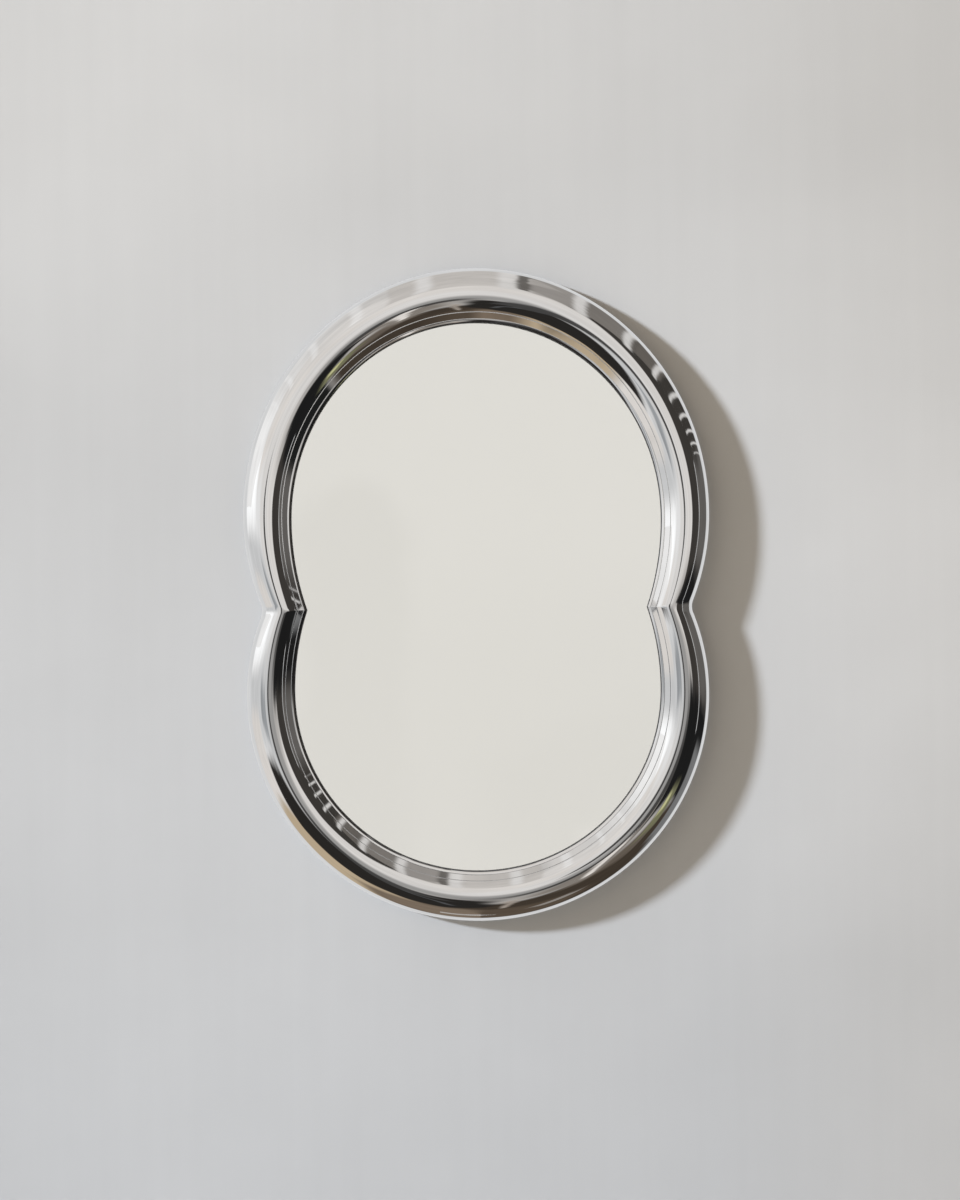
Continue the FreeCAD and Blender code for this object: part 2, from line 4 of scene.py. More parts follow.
import bpy
import numpy as np
from bpy.props import FloatProperty, FloatVectorProperty, PointerProperty
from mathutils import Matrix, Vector


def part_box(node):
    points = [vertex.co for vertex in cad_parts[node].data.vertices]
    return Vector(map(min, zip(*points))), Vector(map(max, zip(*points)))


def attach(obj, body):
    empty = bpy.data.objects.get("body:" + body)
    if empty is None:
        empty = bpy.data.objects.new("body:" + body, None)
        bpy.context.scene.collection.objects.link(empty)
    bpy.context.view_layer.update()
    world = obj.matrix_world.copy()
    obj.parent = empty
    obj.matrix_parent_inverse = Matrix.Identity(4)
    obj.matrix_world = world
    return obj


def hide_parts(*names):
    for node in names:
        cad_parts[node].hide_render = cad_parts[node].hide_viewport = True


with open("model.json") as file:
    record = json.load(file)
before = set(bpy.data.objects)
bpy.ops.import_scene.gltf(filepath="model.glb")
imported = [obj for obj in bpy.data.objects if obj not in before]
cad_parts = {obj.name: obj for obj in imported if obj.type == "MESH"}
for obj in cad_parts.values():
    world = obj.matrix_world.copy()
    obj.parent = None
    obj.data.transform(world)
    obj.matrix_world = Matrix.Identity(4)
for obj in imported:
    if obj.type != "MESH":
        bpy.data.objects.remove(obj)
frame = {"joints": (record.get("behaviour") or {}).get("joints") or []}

bl_info = {
    "name": "Two-lobed wall mirror",
    "version": (1, 0, 0),
    "blender": (4, 5, 0),
    "location": "3D View > Sidebar > Mirror",
    "description": "Dresses the packed two-lobed mirror: polished frame, glass, back, hangers",
    "category": "Add Mesh",
}

RIM_LOW, RIM_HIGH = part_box("frame")


def length(name, description, default):
    """A size in metres."""
    return FloatProperty(name=name, description=description, default=default, min=0.0,
                         precision=5, unit="LENGTH")


def colour(name, description, default):
    """A colour in linear light."""
    return FloatVectorProperty(name=name, description=description, default=default, size=3,
                               min=0.0, max=1.0, subtype="COLOR")


def share(name, description, default):
    """A plain number from 0 to 1."""
    return FloatProperty(name=name, description=description, default=default, min=0.0, max=1.0,
                         subtype="FACTOR")


# ------------------------------------------------------------------ sizes and colours to change


class MirrorOutline(bpy.types.PropertyGroup):
    """The two-lobed outline, at the rim and at the sight edge of the glass."""

    upper_half_width: length("Upper half width", "Half the rim's width at the upper lobe",
                             RIM_HIGH.x)
    lower_half_width: length("Lower half width", "Half the rim's width at the lower lobe",
                             RIM_HIGH.x - 0.002)
    waist_half_width: length("Waist half width", "Half the rim's width at the waist", 0.229)
    top_height: length("Top height", "Height of the rim's top above the middle", RIM_HIGH.z)
    bottom_drop: length("Bottom drop", "Depth of the rim's bottom below the middle", -RIM_LOW.z)
    upper_wide: length("Upper wide height", "Height of the upper lobe's widest point", 0.086)
    lower_wide: length("Lower wide drop", "Drop of the lower lobe's widest point", 0.107)
    waist_drop: length("Waist drop", "Drop of the waist below the middle", 0.015)
    waist_rounding: length("Waist rounding", "Radius of the notch at the rim", 0.019)
    crease_rounding: length("Crease rounding", "Radius of the crease at the glass", 0.0005)
    back_rounding: length("Back rounding", "Least radius of the crease behind the lip", 0.004)
    sharp_crease: length("Sharp crease", "Margin up to which the crease is sharp", 0.013)
    side_band: length("Side band", "Width of the band of metal at the sides", 0.052)
    top_band: length("Top band", "Width of the band at the top", 0.059)
    bottom_band: length("Bottom band", "Width of the band at the bottom", 0.054)
    waist_band: length("Waist band", "Width of the band at the waist", 0.047)
    wide_shift: length("Wide point shift", "How far the widest points move over the band", 0.005)


class MirrorSection(bpy.types.PropertyGroup):
    """The section of the rolled frame: margins outside the glass, and depths off the wall."""

    back: length("Back depth", "Gap between the wall and the frame", -RIM_HIGH.y)
    spring: length("Spring depth", "Where the roll starts at the rim", 0.005)
    crown: length("Crown depth", "Depth of the crown of the roll", -RIM_LOW.y)
    crown_margin: length("Crown margin", "Margin of the crown", 0.029)
    step_margin: length("Step margin", "Margin of the outer step", 0.0099)
    lip_margin: length("Lip margin", "Margin of the inner step", 0.0041)
    step_width: length("Step width", "Width of the groove at a step", 0.0006)
    groove: length("Groove depth", "Depth of the groove at a step", 0.0007)
    lip_depth: length("Lip depth", "Depth of the lip's inner step", 0.0158)
    sight_depth: length("Sight depth", "Depth of the lip at the sight edge", 0.014)
    seat_depth: length("Seat depth", "Depth of the underside that the glass meets", 0.0125)
    swell: length("Bead swell", "How far the two beads swell", 0.00025)
    # width of the painted shade line on the lip beside the glass
    painted_shade_line: length("Sight line", "Width of the unpolished line beside the glass", 0.001)
    bead_slope: FloatProperty(name="Bead slope", description="Steepest buffed slope of a bead",
                              default=math.radians(42), subtype="ANGLE")
    wall: length("Casting wall", "Thickness of the hollow casting", 0.004)
    hollow: length("Hollow margin", "Inner margin of the hollow", 0.022)
    edge: length("Edge rounding", "Rounding of the cast edges", 0.0005)
    crisp: length("Crisp rounding", "Rounding of the edges that are cut or stepped", 0.00012)
    rebate: length("Rebate margin", "Margin of the rebate's wall round the glass", 0.0065)
    board_rebate: length("Board rebate", "Margin of the wall round the backing board", 0.018)
    board_seat: length("Board seat", "Depth of the ledge that the board lies on", 0.008)


class MirrorFittings(bpy.types.PropertyGroup):
    """Glass, tape, pads, screws, bumpers and hangers."""

    glass_margin: length("Glass margin", "Margin of the pane's edge", 0.005)
    glass_back: length("Glass back", "Depth of the silvering", 0.009)
    glass_front: length("Glass front", "Depth of the pane's face", 0.012)
    tape_inner: length("Tape inner margin", "Margin of the tape's inner edge", 0.0012)
    tape_outer: length("Tape outer margin", "Margin of the tape's outer edge", 0.0047)
    pad_outer: length("Pad outer margin", "Margin of a pad's underside", 0.0064)
    pad_near: length("Pad near end", "Distance of a pad's near end from the middle", 0.063)
    pad_far: length("Pad far end", "Distance of a pad's far end from the middle", 0.087)
    screw_margin: length("Screw margin", "Margin of the board screws", 0.0122)
    upper_screw: length("Upper strap screw", "Drop of a strap's upper screw below the eye", 0.0086)
    lower_screw: length("Lower strap screw", "Drop of a strap's lower screw below the eye", 0.0246)
    bumper_radius: length("Bumper radius", "Radius of a rubber bumper", 0.006)
    bumper_thickness: length("Bumper thickness", "Thickness of a rubber bumper", 0.0026)
    strap_end: length("Strap end", "Drop of a strap's end below the eye", 0.031)
    strap_half_width: length("Strap half width", "Half a strap's width", 0.006)
    strap_line: length("Strap line", "Depth of the middle of a strap's plate", 0.0064)
    curl_radius: length("Curl radius", "Radius of the middle of a strap's curl", 0.00175)
    wire_radius: length("Wire radius", "Radius of a ring's wire", 0.0012)
    wire_bend: length("Wire bend", "Bend of the wire at the ring's two corners", 0.0024)
    ring_width: length("Ring width", "Outer width of a ring", 0.020)
    ring_height: length("Ring height", "From the outside of the bar to that of the bow", 0.017)


class MirrorFinish(bpy.types.PropertyGroup):
    """Colours and polish."""

    metal: colour("Metal", "Polished aluminium", (0.86, 0.865, 0.87))
    metal_polish: share("Metal roughness", "Roughness of the polished roll", 0.035)
    casting: colour("Casting", "The back as it was cast", (0.50, 0.505, 0.51))
    # sight: the near-black colour painted on the lip's last millimetre as the shade along the glass
    # edge
    sight: colour("Sight line", "Unpolished edge of the lip beside the glass", (0.10, 0.10, 0.105))
    silver: colour("Silver", "Silvering behind the glass", (0.90, 0.905, 0.895))
    glass: colour("Glass", "Tint of the glass", (0.965, 0.985, 0.975))
    foam_tape: colour("Foam tape", "Glazing tape", (0.018, 0.018, 0.019))
    rubber: colour("Rubber", "Pads and bumpers", (0.035, 0.035, 0.036))
    foam: colour("Foam", "Sheet behind the glass", (0.78, 0.78, 0.75))
    board: colour("Board", "Fibre board", (0.028, 0.027, 0.026))
    zinc: colour("Zinc", "Plated board screws", (0.70, 0.71, 0.73))
    nickel: colour("Nickel", "Plated straps and rings", (0.74, 0.71, 0.66))


class MirrorStage(bpy.types.PropertyGroup):
    """Camera, wall, floor and light."""

    distance: length("Distance", "From the camera to the wall", 3.0)
    lens: FloatProperty(name="Lens", description="Focal length, millimetres", default=83.7)
    aside: length("Aside", "Camera to the right of the middle", 0.0032)
    below: length("Below", "Camera below the middle", 0.0059)
    roll: FloatProperty(name="Roll", description="Turn of the camera about its view",
                        default=math.radians(0.6), subtype="ANGLE")
    floor_drop: length("Floor drop", "Floor below the middle of the mirror", 1.3)
    room_reach: length("Room", "Radius of the room that the metal reflects", 1.5)
    wall_colour: colour("Wall", "Pale plaster", (0.597, 0.602, 0.615))
    floor_colour: colour("Floor", "Pale floor", (0.50, 0.47, 0.42))
    pale: colour("Backdrop", "What the camera and the glass see beyond the stage",
                 (0.847, 0.807, 0.770))
    fill: colour("Fill", "Soft light from all round", (0.275, 0.225, 0.165))
    key_power: FloatProperty(name="Key", description="Power of the key lamp, watts", default=4250)
    glow_power: FloatProperty(name="Glow", description="Power of the glow lamp, watts", default=38)
    back_power: FloatProperty(name="Back light", description="Power of the lamp behind, watts",
                              default=130)
    key_distance: length("Key distance", "From the mirror to the key lamp", 16.0)
    key_width: length("Key width", "Diameter of the key lamp", 1.2)


def chosen(group):
    """The scene's settings in one group, such as "outline" or "finish"."""
    return getattr(bpy.context.scene, "mirror_" + group)


# ------------------------------------------------------------------ meshes from whole arrays


def outlines(margins, smallest_rounding=0.0):
    """Closed outlines round the two lobes, one row for each margin, as x + i z.

    A row runs from the bottom up the right side and down the left. Beyond its widest point each
    lobe is half an oval, (w cos a, h sin a). From there a circular shoulder, upright at the widest
    point, falls to the waist, where a small arc touches both shoulders from outside. Gives the
    points and the unit tangents.
    """
    o = chosen("outline")
    margin = np.atleast_1d(np.asarray(margins, float))[:, None]
    rounding = np.atleast_1d(np.asarray(smallest_rounding, float))[:, None]
    inset = o.side_band - margin
    part = inset / o.side_band
    upper = o.upper_half_width - inset
    lower = o.lower_half_width - inset
    waist = o.waist_half_width - o.waist_band * part
    top = o.top_height - o.top_band * part
    bottom = -o.bottom_drop + o.bottom_band * part
    upper_wide = o.upper_wide - o.wide_shift * part
    lower_wide = -o.lower_wide + o.wide_shift * part

    upper_fall = np.abs(upper_wide + o.waist_drop)
    lower_fall = np.abs(lower_wide + o.waist_drop)
    upper_radius = (upper_fall**2 + (upper - waist)**2) / (2 * (upper - waist))
    lower_radius = (lower_fall**2 + (lower - waist)**2) / (2 * (lower - waist))
    reach = np.clip((margin - o.sharp_crease) / (o.side_band - o.sharp_crease), 0, None)
    notch = np.maximum(o.waist_rounding * reach * (2 - reach), o.crease_rounding)
    notch = np.maximum(notch, rounding)

    upper_centre = upper - upper_radius + 1j * upper_wide
    lower_centre = lower - lower_radius + 1j * lower_wide
    between = upper_centre - lower_centre
    apart = np.abs(between)
    to_upper, to_lower = upper_radius + notch, lower_radius + notch
    along = (apart**2 + to_lower**2 - to_upper**2) / (2 * apart)
    across = np.sqrt(to_lower**2 - along**2)
    notch_centre = lower_centre + between / apart * (along - 1j * across)

    def steps(count):
        return np.linspace(0, 1, count, endpoint=False)[None, :]

    def oval(half, centre, rise, angle):
        return (half * np.cos(angle) + 1j * (centre + rise * np.sin(angle)),
                -half * np.sin(angle) + 1j * rise * np.cos(angle))

    def arc(centre, radius, angle, sense):
        turn = np.exp(1j * angle)
        return centre + radius * turn, sense * 1j * turn

    oval_steps, lower_steps, notch_steps, upper_steps = 118, 56, 18, 62
    full = 2 * math.pi
    lower_touch = np.angle(notch_centre - lower_centre)
    upper_touch = np.angle(notch_centre - upper_centre)
    notch_start = np.angle(lower_centre - notch_centre) % full
    notch_end = np.angle(upper_centre - notch_centre) % full
    parts = [
        oval(lower, lower_wide, lower_wide - bottom,
             (steps(oval_steps) - 1) * math.pi / 2),
        arc(lower_centre, lower_radius, steps(lower_steps) * lower_touch, 1),
        arc(notch_centre, notch, notch_start + (notch_end - notch_start) * steps(notch_steps), -1),
        arc(upper_centre, upper_radius, upper_touch * (1 - steps(upper_steps)), 1),
        oval(upper, upper_wide, top - upper_wide, steps(oval_steps) * math.pi / 2),
        (1j * top, -1.0 + 0j * top),
    ]
    right = np.concatenate([points + 0 * margin for points, _ in parts], axis=1)
    heading = np.concatenate([tangents + 0 * margin for _, tangents in parts], axis=1)
    points = np.concatenate([right, -np.conj(right[:, -2:0:-1])], axis=1)
    tangents = np.concatenate([heading, np.conj(heading[:, -2:0:-1])], axis=1)
    return points, tangents / np.abs(tangents)


def rounded(corners, closed=True, steps=4):
    """A path with rounded corners, from rows of (across, up, rounding).

    Each corner with a rounding becomes an arc that touches both its sides; a corner without one
    stays a single point. Gives the points and the unit tangents.
    """
    corner = np.asarray(corners, float)
    place = corner[:, 0] + 1j * corner[:, 1]
    before, after = place - np.roll(place, 1), np.roll(place, -1) - place
    if not closed:
        before[0], after[-1] = after[0], before[-1]
    near_before, near_after = np.abs(before), np.abs(after)
    before, after = before / near_before, after / near_after
    turn = np.angle(after / before)[:, None]
    radius = corner[:, 2][:, None]
    part = np.linspace(0, 1, steps)[None, :]
    start = place[:, None] - before[:, None] * radius * np.tan(np.abs(turn) / 2)
    sense = np.where(turn >= 0, 1, -1)
    centre = start + 1j * before[:, None] * radius * sense
    heading = before[:, None] * np.exp(1j * turn * part)
    points = centre - 1j * heading * radius * sense
    single = corner[:, 2] == 0
    middle = before * near_after + after * near_before
    heading[single] = (middle / np.abs(middle))[single][:, None]
    shown = np.ones(points.shape, bool)
    shown[single, 1:] = False
    path, tangents = points[shown], heading[shown]
    return (np.stack([path.real, path.imag], 1), np.stack([tangents.real, tangents.imag], 1))


def swept(section, tangents, smallest_rounding=0.0):
    """Carries a section of (margin, depth) rows round the outline.

    The point for a row and a place is (x, -depth, z) of that row's outline. Its normal is the
    cross product of the outline's tangent and the section's, where the section's tangent uses the
    outline's change with the margin. Gives points, normals and (along, across) lengths.
    """
    margin, depth = section[:, 0], section[:, 1]
    rounding = smallest_rounding + 0 * margin
    points, along = outlines(margin, rounding)
    small = 1e-5
    change = (outlines(margin + small, rounding)[0]
              - outlines(margin - small, rounding)[0]) / (2 * small)
    flat = np.zeros(points.shape)
    place = np.stack([points.real, flat - depth[:, None], points.imag], 2)
    forward = np.stack([along.real, flat, along.imag], 2)
    inward = np.stack([change.real * tangents[:, :1], flat - tangents[:, 1:],
                       change.imag * tangents[:, :1]], 2)
    normals = np.cross(forward, inward)
    normals /= np.linalg.norm(normals, axis=2, keepdims=True)
    walked = np.concatenate([[0], np.cumsum(np.abs(np.diff(points[0])))])
    climbed = np.concatenate([[0], np.cumsum(np.linalg.norm(np.diff(section, axis=0), axis=1))])
    lengths = np.stack([walked[None, :] + flat, climbed[:, None] + flat], 2)
    return place, normals, lengths


def grid_faces(rows, columns, closed_rows, start=0):
    """Quads between neighbouring rows of a grid whose columns close on themselves."""
    row = np.arange(rows if closed_rows else rows - 1)[:, None]
    column = np.arange(columns)[None, :]
    next_row, next_column = (row + 1) % rows, (column + 1) % columns
    corners = [row * columns + column, row * columns + next_column,
               next_row * columns + next_column, next_row * columns + column]
    return np.stack([c + 0 * corners[0] for c in corners], 2).reshape(-1, 4) + start


class Shells:
    """Gathers grids and caps into one mesh."""

    def __init__(self):
        self.points, self.normals, self.lengths = [], [], []
        self.faces, self.slots, self.count = [], [], 0

    def add(self, points, normals=None, lengths=None, closed_rows=False, caps=(False, False),
            slot=0, row_slots=None):
        """Adds a grid (rows, columns, 3), with flat caps on its first and last row if asked."""
        rows, columns = points.shape[:2]
        faces = grid_faces(rows, columns, closed_rows, self.count)
        self.points.append(points.reshape(-1, 3))
        self.normals.append(np.zeros((rows * columns, 3)) if normals is None
                            else normals.reshape(-1, 3))
        self.lengths.append(np.zeros((rows * columns, 2)) if lengths is None
                            else lengths.reshape(-1, 2))
        self.faces += faces.tolist()
        if row_slots is None:
            self.slots += [slot] * len(faces)
        else:
            self.slots += np.repeat(row_slots, columns).tolist()
        first = np.arange(columns) + self.count
        last = first + (rows - 1) * columns
        if caps[0]:
            self.faces.append(first[::-1].tolist())
            self.slots.append(slot)
        if caps[1]:
            self.faces.append(last.tolist())
            self.slots.append(slot if row_slots is None else int(row_slots[-1]))
        self.count += rows * columns
        return self

    def build(self, name, materials, smooth_angle=None):
        """Makes the object. Given normals are kept; otherwise sharp edges come from the angle."""
        mesh = bpy.data.meshes.new(name)
        mesh.from_pydata(np.concatenate(self.points), [], self.faces)
        mesh.polygons.foreach_set("material_index", np.array(self.slots, np.int32))
        mesh.polygons.foreach_set("use_smooth", np.ones(len(mesh.polygons), bool))
        lengths = np.concatenate(self.lengths)
        corner = np.zeros(len(mesh.loops), np.int32)
        mesh.loops.foreach_get("vertex_index", corner)
        mesh.uv_layers.new(name="surface").data.foreach_set("uv", lengths[corner].ravel())
        for material in materials:
            mesh.materials.append(material)
        if smooth_angle is None:
            mesh.normals_split_custom_set_from_vertices(np.concatenate(self.normals))
        else:
            mesh.set_sharp_from_angle(angle=smooth_angle)
        piece = bpy.data.objects.new(name, mesh)
        bpy.context.scene.collection.objects.link(piece)
        return piece


def turned(x, z, profile, columns):
    """A body of revolution about the depth axis.

    The point at an angle a is (x + r cos a, -depth, z + r sin a), for the profile's rows of
    (radius, depth). The profile runs from the wall side to the front.
    """
    angle = np.linspace(0, 2 * math.pi, columns, endpoint=False)[None, :]
    radius, depth = profile[:, :1], profile[:, 1:]
    return np.stack([x + radius * np.cos(angle), -depth + 0 * angle,
                     z + radius * np.sin(angle)], 2)


def place_on(piece, body, slot, *nodes):
    """Rides and stands for the CAD nodes; the slot is not used."""
    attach(piece, body)
    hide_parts(*nodes)


# ------------------------------------------------------------------ finishes


class Finish:
    """A short way to write a material's nodes."""

    def __init__(self, name):
        self.material = bpy.data.materials.new(name)
        self.material.use_nodes = True
        self.tree = self.material.node_tree
        self.surface = self.tree.nodes["Principled BSDF"]
        self.output = self.tree.nodes["Material Output"]

    def node(self, kind, *inputs, **settings):
        """Adds a node; inputs are (socket, value or node output)."""
        made = self.tree.nodes.new(kind)
        for name, value in settings.items():
            setattr(made, name, value)
        for socket, value in inputs:
            self.set(made.inputs[socket], value)
        return made

    def set(self, socket, value):
        if isinstance(value, bpy.types.NodeSocket):
            self.tree.links.new(value, socket)
        elif isinstance(value, bpy.types.Node):
            self.tree.links.new(value.outputs[0], socket)
        else:
            socket.default_value = value

    def give(self, **values):
        """Sets the shader's own sockets, whose spaces are written as underscores."""
        for name, value in values.items():
            self.set(self.surface.inputs[name.replace("_", " ")], value)

    def math(self, operation, first, second=None):
        inputs = [(0, first)] + ([] if second is None else [(1, second)])
        return self.node("ShaderNodeMath", *inputs, operation=operation).outputs[0]

    def coordinates(self, scale=(1.0, 1.0, 1.0), source="Object"):
        where = self.node("ShaderNodeTexCoord")
        return self.node("ShaderNodeMapping", ("Vector", where.outputs[source]),
                         ("Scale", scale)).outputs[0]

    def noise(self, vector, scale, detail=2.0, roughness=0.5):
        return self.node("ShaderNodeTexNoise", ("Vector", vector), ("Scale", scale),
                         ("Detail", detail), ("Roughness", roughness)).outputs[0]

    def spread(self, value, to, over=(0.3, 0.7)):
        """Maps the values over one range, at first that of a noise, to another range."""
        return self.node("ShaderNodeMapRange", ("Value", value), ("From Min", over[0]),
                         ("From Max", over[1]), ("To Min", to[0]), ("To Max", to[1])).outputs[0]

    def between(self, amount, first, second):
        """A colour between two, each three numbers or a node's output."""
        ends = [tone if isinstance(tone, bpy.types.NodeSocket) else (*tone, 1)
                for tone in (first, second)]
        return self.node("ShaderNodeMix", (0, amount), (6, ends[0]), (7, ends[1]),
                         data_type="RGBA").outputs[2]

    def mottle(self, amount, tone, darkest, lightest):
        """A tone that goes from its darkest to its lightest factor with the amount."""
        return self.between(amount, shade(tone, darkest), shade(tone, lightest))

    def bump(self, height, distance, strength=1.0, normal=None):
        inputs = [("Height", height), ("Distance", distance), ("Strength", strength)]
        if normal is not None:
            inputs.append(("Normal", normal))
        return self.node("ShaderNodeBump", *inputs).outputs[0]


def shade(tone, factor):
    """A colour made lighter or darker."""
    return tuple(min(1.0, part * factor) for part in tone)


def polished_metal():
    """Hand-polished aluminium: faint buffing lines along the band, soft waves, a few hairlines."""
    finish = chosen("finish")
    f = Finish("polished_aluminium")
    buffing = f.noise(f.coordinates((9.0, 2600.0, 1.0), "UV"), scale=1.0, detail=3.0)
    smear = f.noise(f.coordinates(), scale=14.0, detail=3.0)
    waves = f.noise(f.coordinates(), scale=9.0, detail=1.0)
    hairline = f.noise(f.coordinates((30.0, 900.0, 1.0), "UV"), scale=1.0, detail=1.0)
    marks = f.spread(hairline, (0.0, 1.0), over=(0.66, 0.74))
    roughness = f.math("ADD",
                       f.spread(smear, (finish.metal_polish * 0.7, finish.metal_polish * 1.6)),
                       f.spread(marks, (0.0, 0.05), over=(0.0, 1.0)))
    tone = f.mottle(smear, finish.metal, 0.97, 1.02)
    fine = f.bump(buffing, distance=0.0000003)
    f.give(Base_Color=tone, Metallic=1.0, Roughness=roughness,
           Normal=f.bump(waves, distance=0.00008, strength=1.0, normal=fine))
    return f.material


def sight_line_metal():
    """The lip's last millimetre beside the glass: dark grey and satin, painted shade along the
    glass edge, with rubbed spots.
    """
    finish = chosen("finish")
    f = Finish("sight_line_metal")
    rub = f.noise(f.coordinates((60.0, 900.0, 1.0), "UV"), scale=1.0, detail=3.0)
    f.give(Base_Color=f.mottle(f.spread(rub, (0.0, 1.0), over=(0.55, 0.8)), finish.sight, 1.0, 2.5),
           Metallic=0.8, Roughness=f.spread(rub, (0.24, 0.36)),
           Normal=f.bump(rub, distance=0.000002))
    return f.material


def cast_metal():
    """The back as it came from the sand: grainy and dull, with darker and lighter blotches."""
    finish = chosen("finish")
    f = Finish("cast_aluminium")
    place = f.coordinates()
    grain = f.noise(place, scale=900.0, detail=4.0, roughness=0.6)
    blotch = f.noise(place, scale=22.0, detail=4.0)
    tone = f.mottle(f.spread(blotch, (0.0, 1.0)), finish.casting, 0.82, 1.12)
    f.give(Base_Color=tone, Metallic=0.9, Roughness=f.spread(grain, (0.42, 0.62)),
           Normal=f.bump(grain, distance=0.00012, strength=0.7))
    return f.material


def clear_glass():
    """Flat glass with the faint ripple of a float pane."""
    finish = chosen("finish")
    f = Finish("clear_glass")
    ripple = f.noise(f.coordinates((1.0, 1.0, 0.4)), scale=3.0, detail=1.0)
    haze = f.noise(f.coordinates(), scale=6.0, detail=3.0)
    tone = f.mottle(haze, finish.glass, 0.995, 1.0)
    f.give(Base_Color=tone, Roughness=f.spread(haze, (0.0, 0.004)), IOR=1.52,
           Transmission_Weight=1.0, Normal=f.bump(ripple, distance=0.000001))
    return f.material


def silvering():
    """The silver layer on the back of the glass."""
    finish = chosen("finish")
    f = Finish("silvering")
    cloud = f.noise(f.coordinates(), scale=2.5, detail=2.0)
    f.give(Base_Color=f.mottle(cloud, finish.silver, 0.99, 1.01),
           Metallic=1.0, Roughness=f.spread(cloud, (0.0, 0.006)),
           Normal=f.bump(cloud, distance=0.000001))
    return f.material


def ground_glass():
    """The ground edge of the pane."""
    f = Finish("ground_glass_edge")
    grain = f.noise(f.coordinates(), scale=1800.0, detail=3.0)
    f.give(Base_Color=f.between(grain, (0.62, 0.70, 0.67), (0.74, 0.80, 0.78)),
           Roughness=f.spread(grain, (0.35, 0.6)), Normal=f.bump(grain, distance=0.00003))
    return f.material


def rubbery(name, tone, grain_scale, depth, roughness):
    """Rubber or foam: a matt colour with its cells or mould texture."""
    f = Finish(name)
    place = f.coordinates()
    cells = f.node("ShaderNodeTexVoronoi", ("Vector", place), ("Scale", grain_scale)).outputs[0]
    cloud = f.noise(place, scale=grain_scale / 12, detail=3.0)
    f.give(Base_Color=f.mottle(f.spread(cloud, (0.0, 1.0)), tone, 0.8, 1.25),
           Roughness=f.spread(cloud, (roughness - 0.08, roughness + 0.08)),
           Normal=f.bump(cells, distance=depth, strength=0.8))
    return f.material


def fibre_board():
    """Painted hardboard: the fine screen pattern of its pressed side, fibres, and scuffs."""
    finish = chosen("finish")
    f = Finish("painted_fibre_board")
    place = f.coordinates()
    parts = f.node("ShaderNodeSeparateXYZ", ("Vector", place))
    threads = 2400.0
    weft, warp = (f.math("SINE", f.math("MULTIPLY", parts.outputs[axis], threads))
                  for axis in (0, 2))
    screen = f.math("MULTIPLY", weft, warp)
    fibres = f.noise(f.coordinates((60.0, 1.0, 600.0)), scale=6.0, detail=4.0, roughness=0.65)
    cloud = f.noise(place, scale=7.0, detail=4.0)
    rubs = f.noise(f.coordinates((4.0, 1.0, 40.0)), scale=9.0, detail=3.0)
    scuff = f.spread(rubs, (0.0, 1.0), over=(0.62, 0.78))
    base = f.mottle(f.spread(cloud, (0.0, 1.0)), finish.board, 0.8, 1.5)
    tone = f.between(f.spread(scuff, (0.0, 0.35), over=(0.0, 1.0)), base, shade(finish.board, 3.2))
    coarse = f.bump(screen, distance=0.00007, strength=0.8)
    f.give(Base_Color=tone, Roughness=f.spread(fibres, (0.46, 0.7)),
           Normal=f.bump(fibres, distance=0.00005, strength=0.7, normal=coarse))
    return f.material


def plated(name, tone, roughness):
    """Plated steel: a soft sheen with rolling lines and a few dull spots."""
    f = Finish(name)
    place = f.coordinates()
    cloud = f.noise(place, scale=120.0, detail=4.0)
    lines = f.noise(f.coordinates((3000.0, 3000.0, 120.0)), scale=1.0, detail=2.0)
    dull = f.spread(f.noise(place, scale=420.0, detail=2.0), (0.0, 0.16), over=(0.58, 0.72))
    worn = f.math("ADD", f.spread(cloud, (roughness * 0.8, roughness * 1.25)), dull)
    f.give(Base_Color=f.mottle(f.spread(cloud, (0.0, 1.0)), tone, 0.86, 1.0), Metallic=1.0,
           Roughness=worn, Normal=f.bump(lines, distance=0.000006, strength=0.8))
    return f.material


# ------------------------------------------------------------------ the pieces


def flank_radius():
    """Radius of the roll's inner arc, which falls from the crown to 45 degrees at the step."""
    s = chosen("section")
    return (s.crown_margin - s.step_margin) / math.sin(math.radians(45))


def roll_corners(wall, inner_margin, outer_steps, inner_steps):
    """Rows over the roll: a quarter oval outside the crown, and an arc inside it."""
    s, o = chosen("section"), chosen("outline")
    width = o.side_band - s.crown_margin - wall
    height = s.crown - s.spring - wall
    radius = flank_radius() - wall
    angle = np.linspace(0, math.pi / 2, outer_steps)
    fall = np.linspace(0, math.asin((s.crown_margin - inner_margin) / radius), inner_steps)[1:]
    outer = np.stack([s.crown_margin + width * np.cos(angle), s.spring + height * np.sin(angle),
                      0 * angle], 1)
    inner = np.stack([s.crown_margin - radius * np.sin(fall),
                      s.spring + height - radius * (1 - np.cos(fall)), 0 * fall], 1)
    return np.concatenate([outer, inner])


def bead_corners(start, end, swell, steps):
    """Rows along a swollen bead, without its ends: a line plus the swell times 1 - (2t-1)^2."""
    part = np.linspace(0, 1, steps + 2)[1:-1, None]
    line = np.asarray(start) * (1 - part) + np.asarray(end) * part
    line[:, 1] += (swell * (1 - (2 * part - 1)**2))[:, 0]
    return np.concatenate([line, 0 * part], 1)


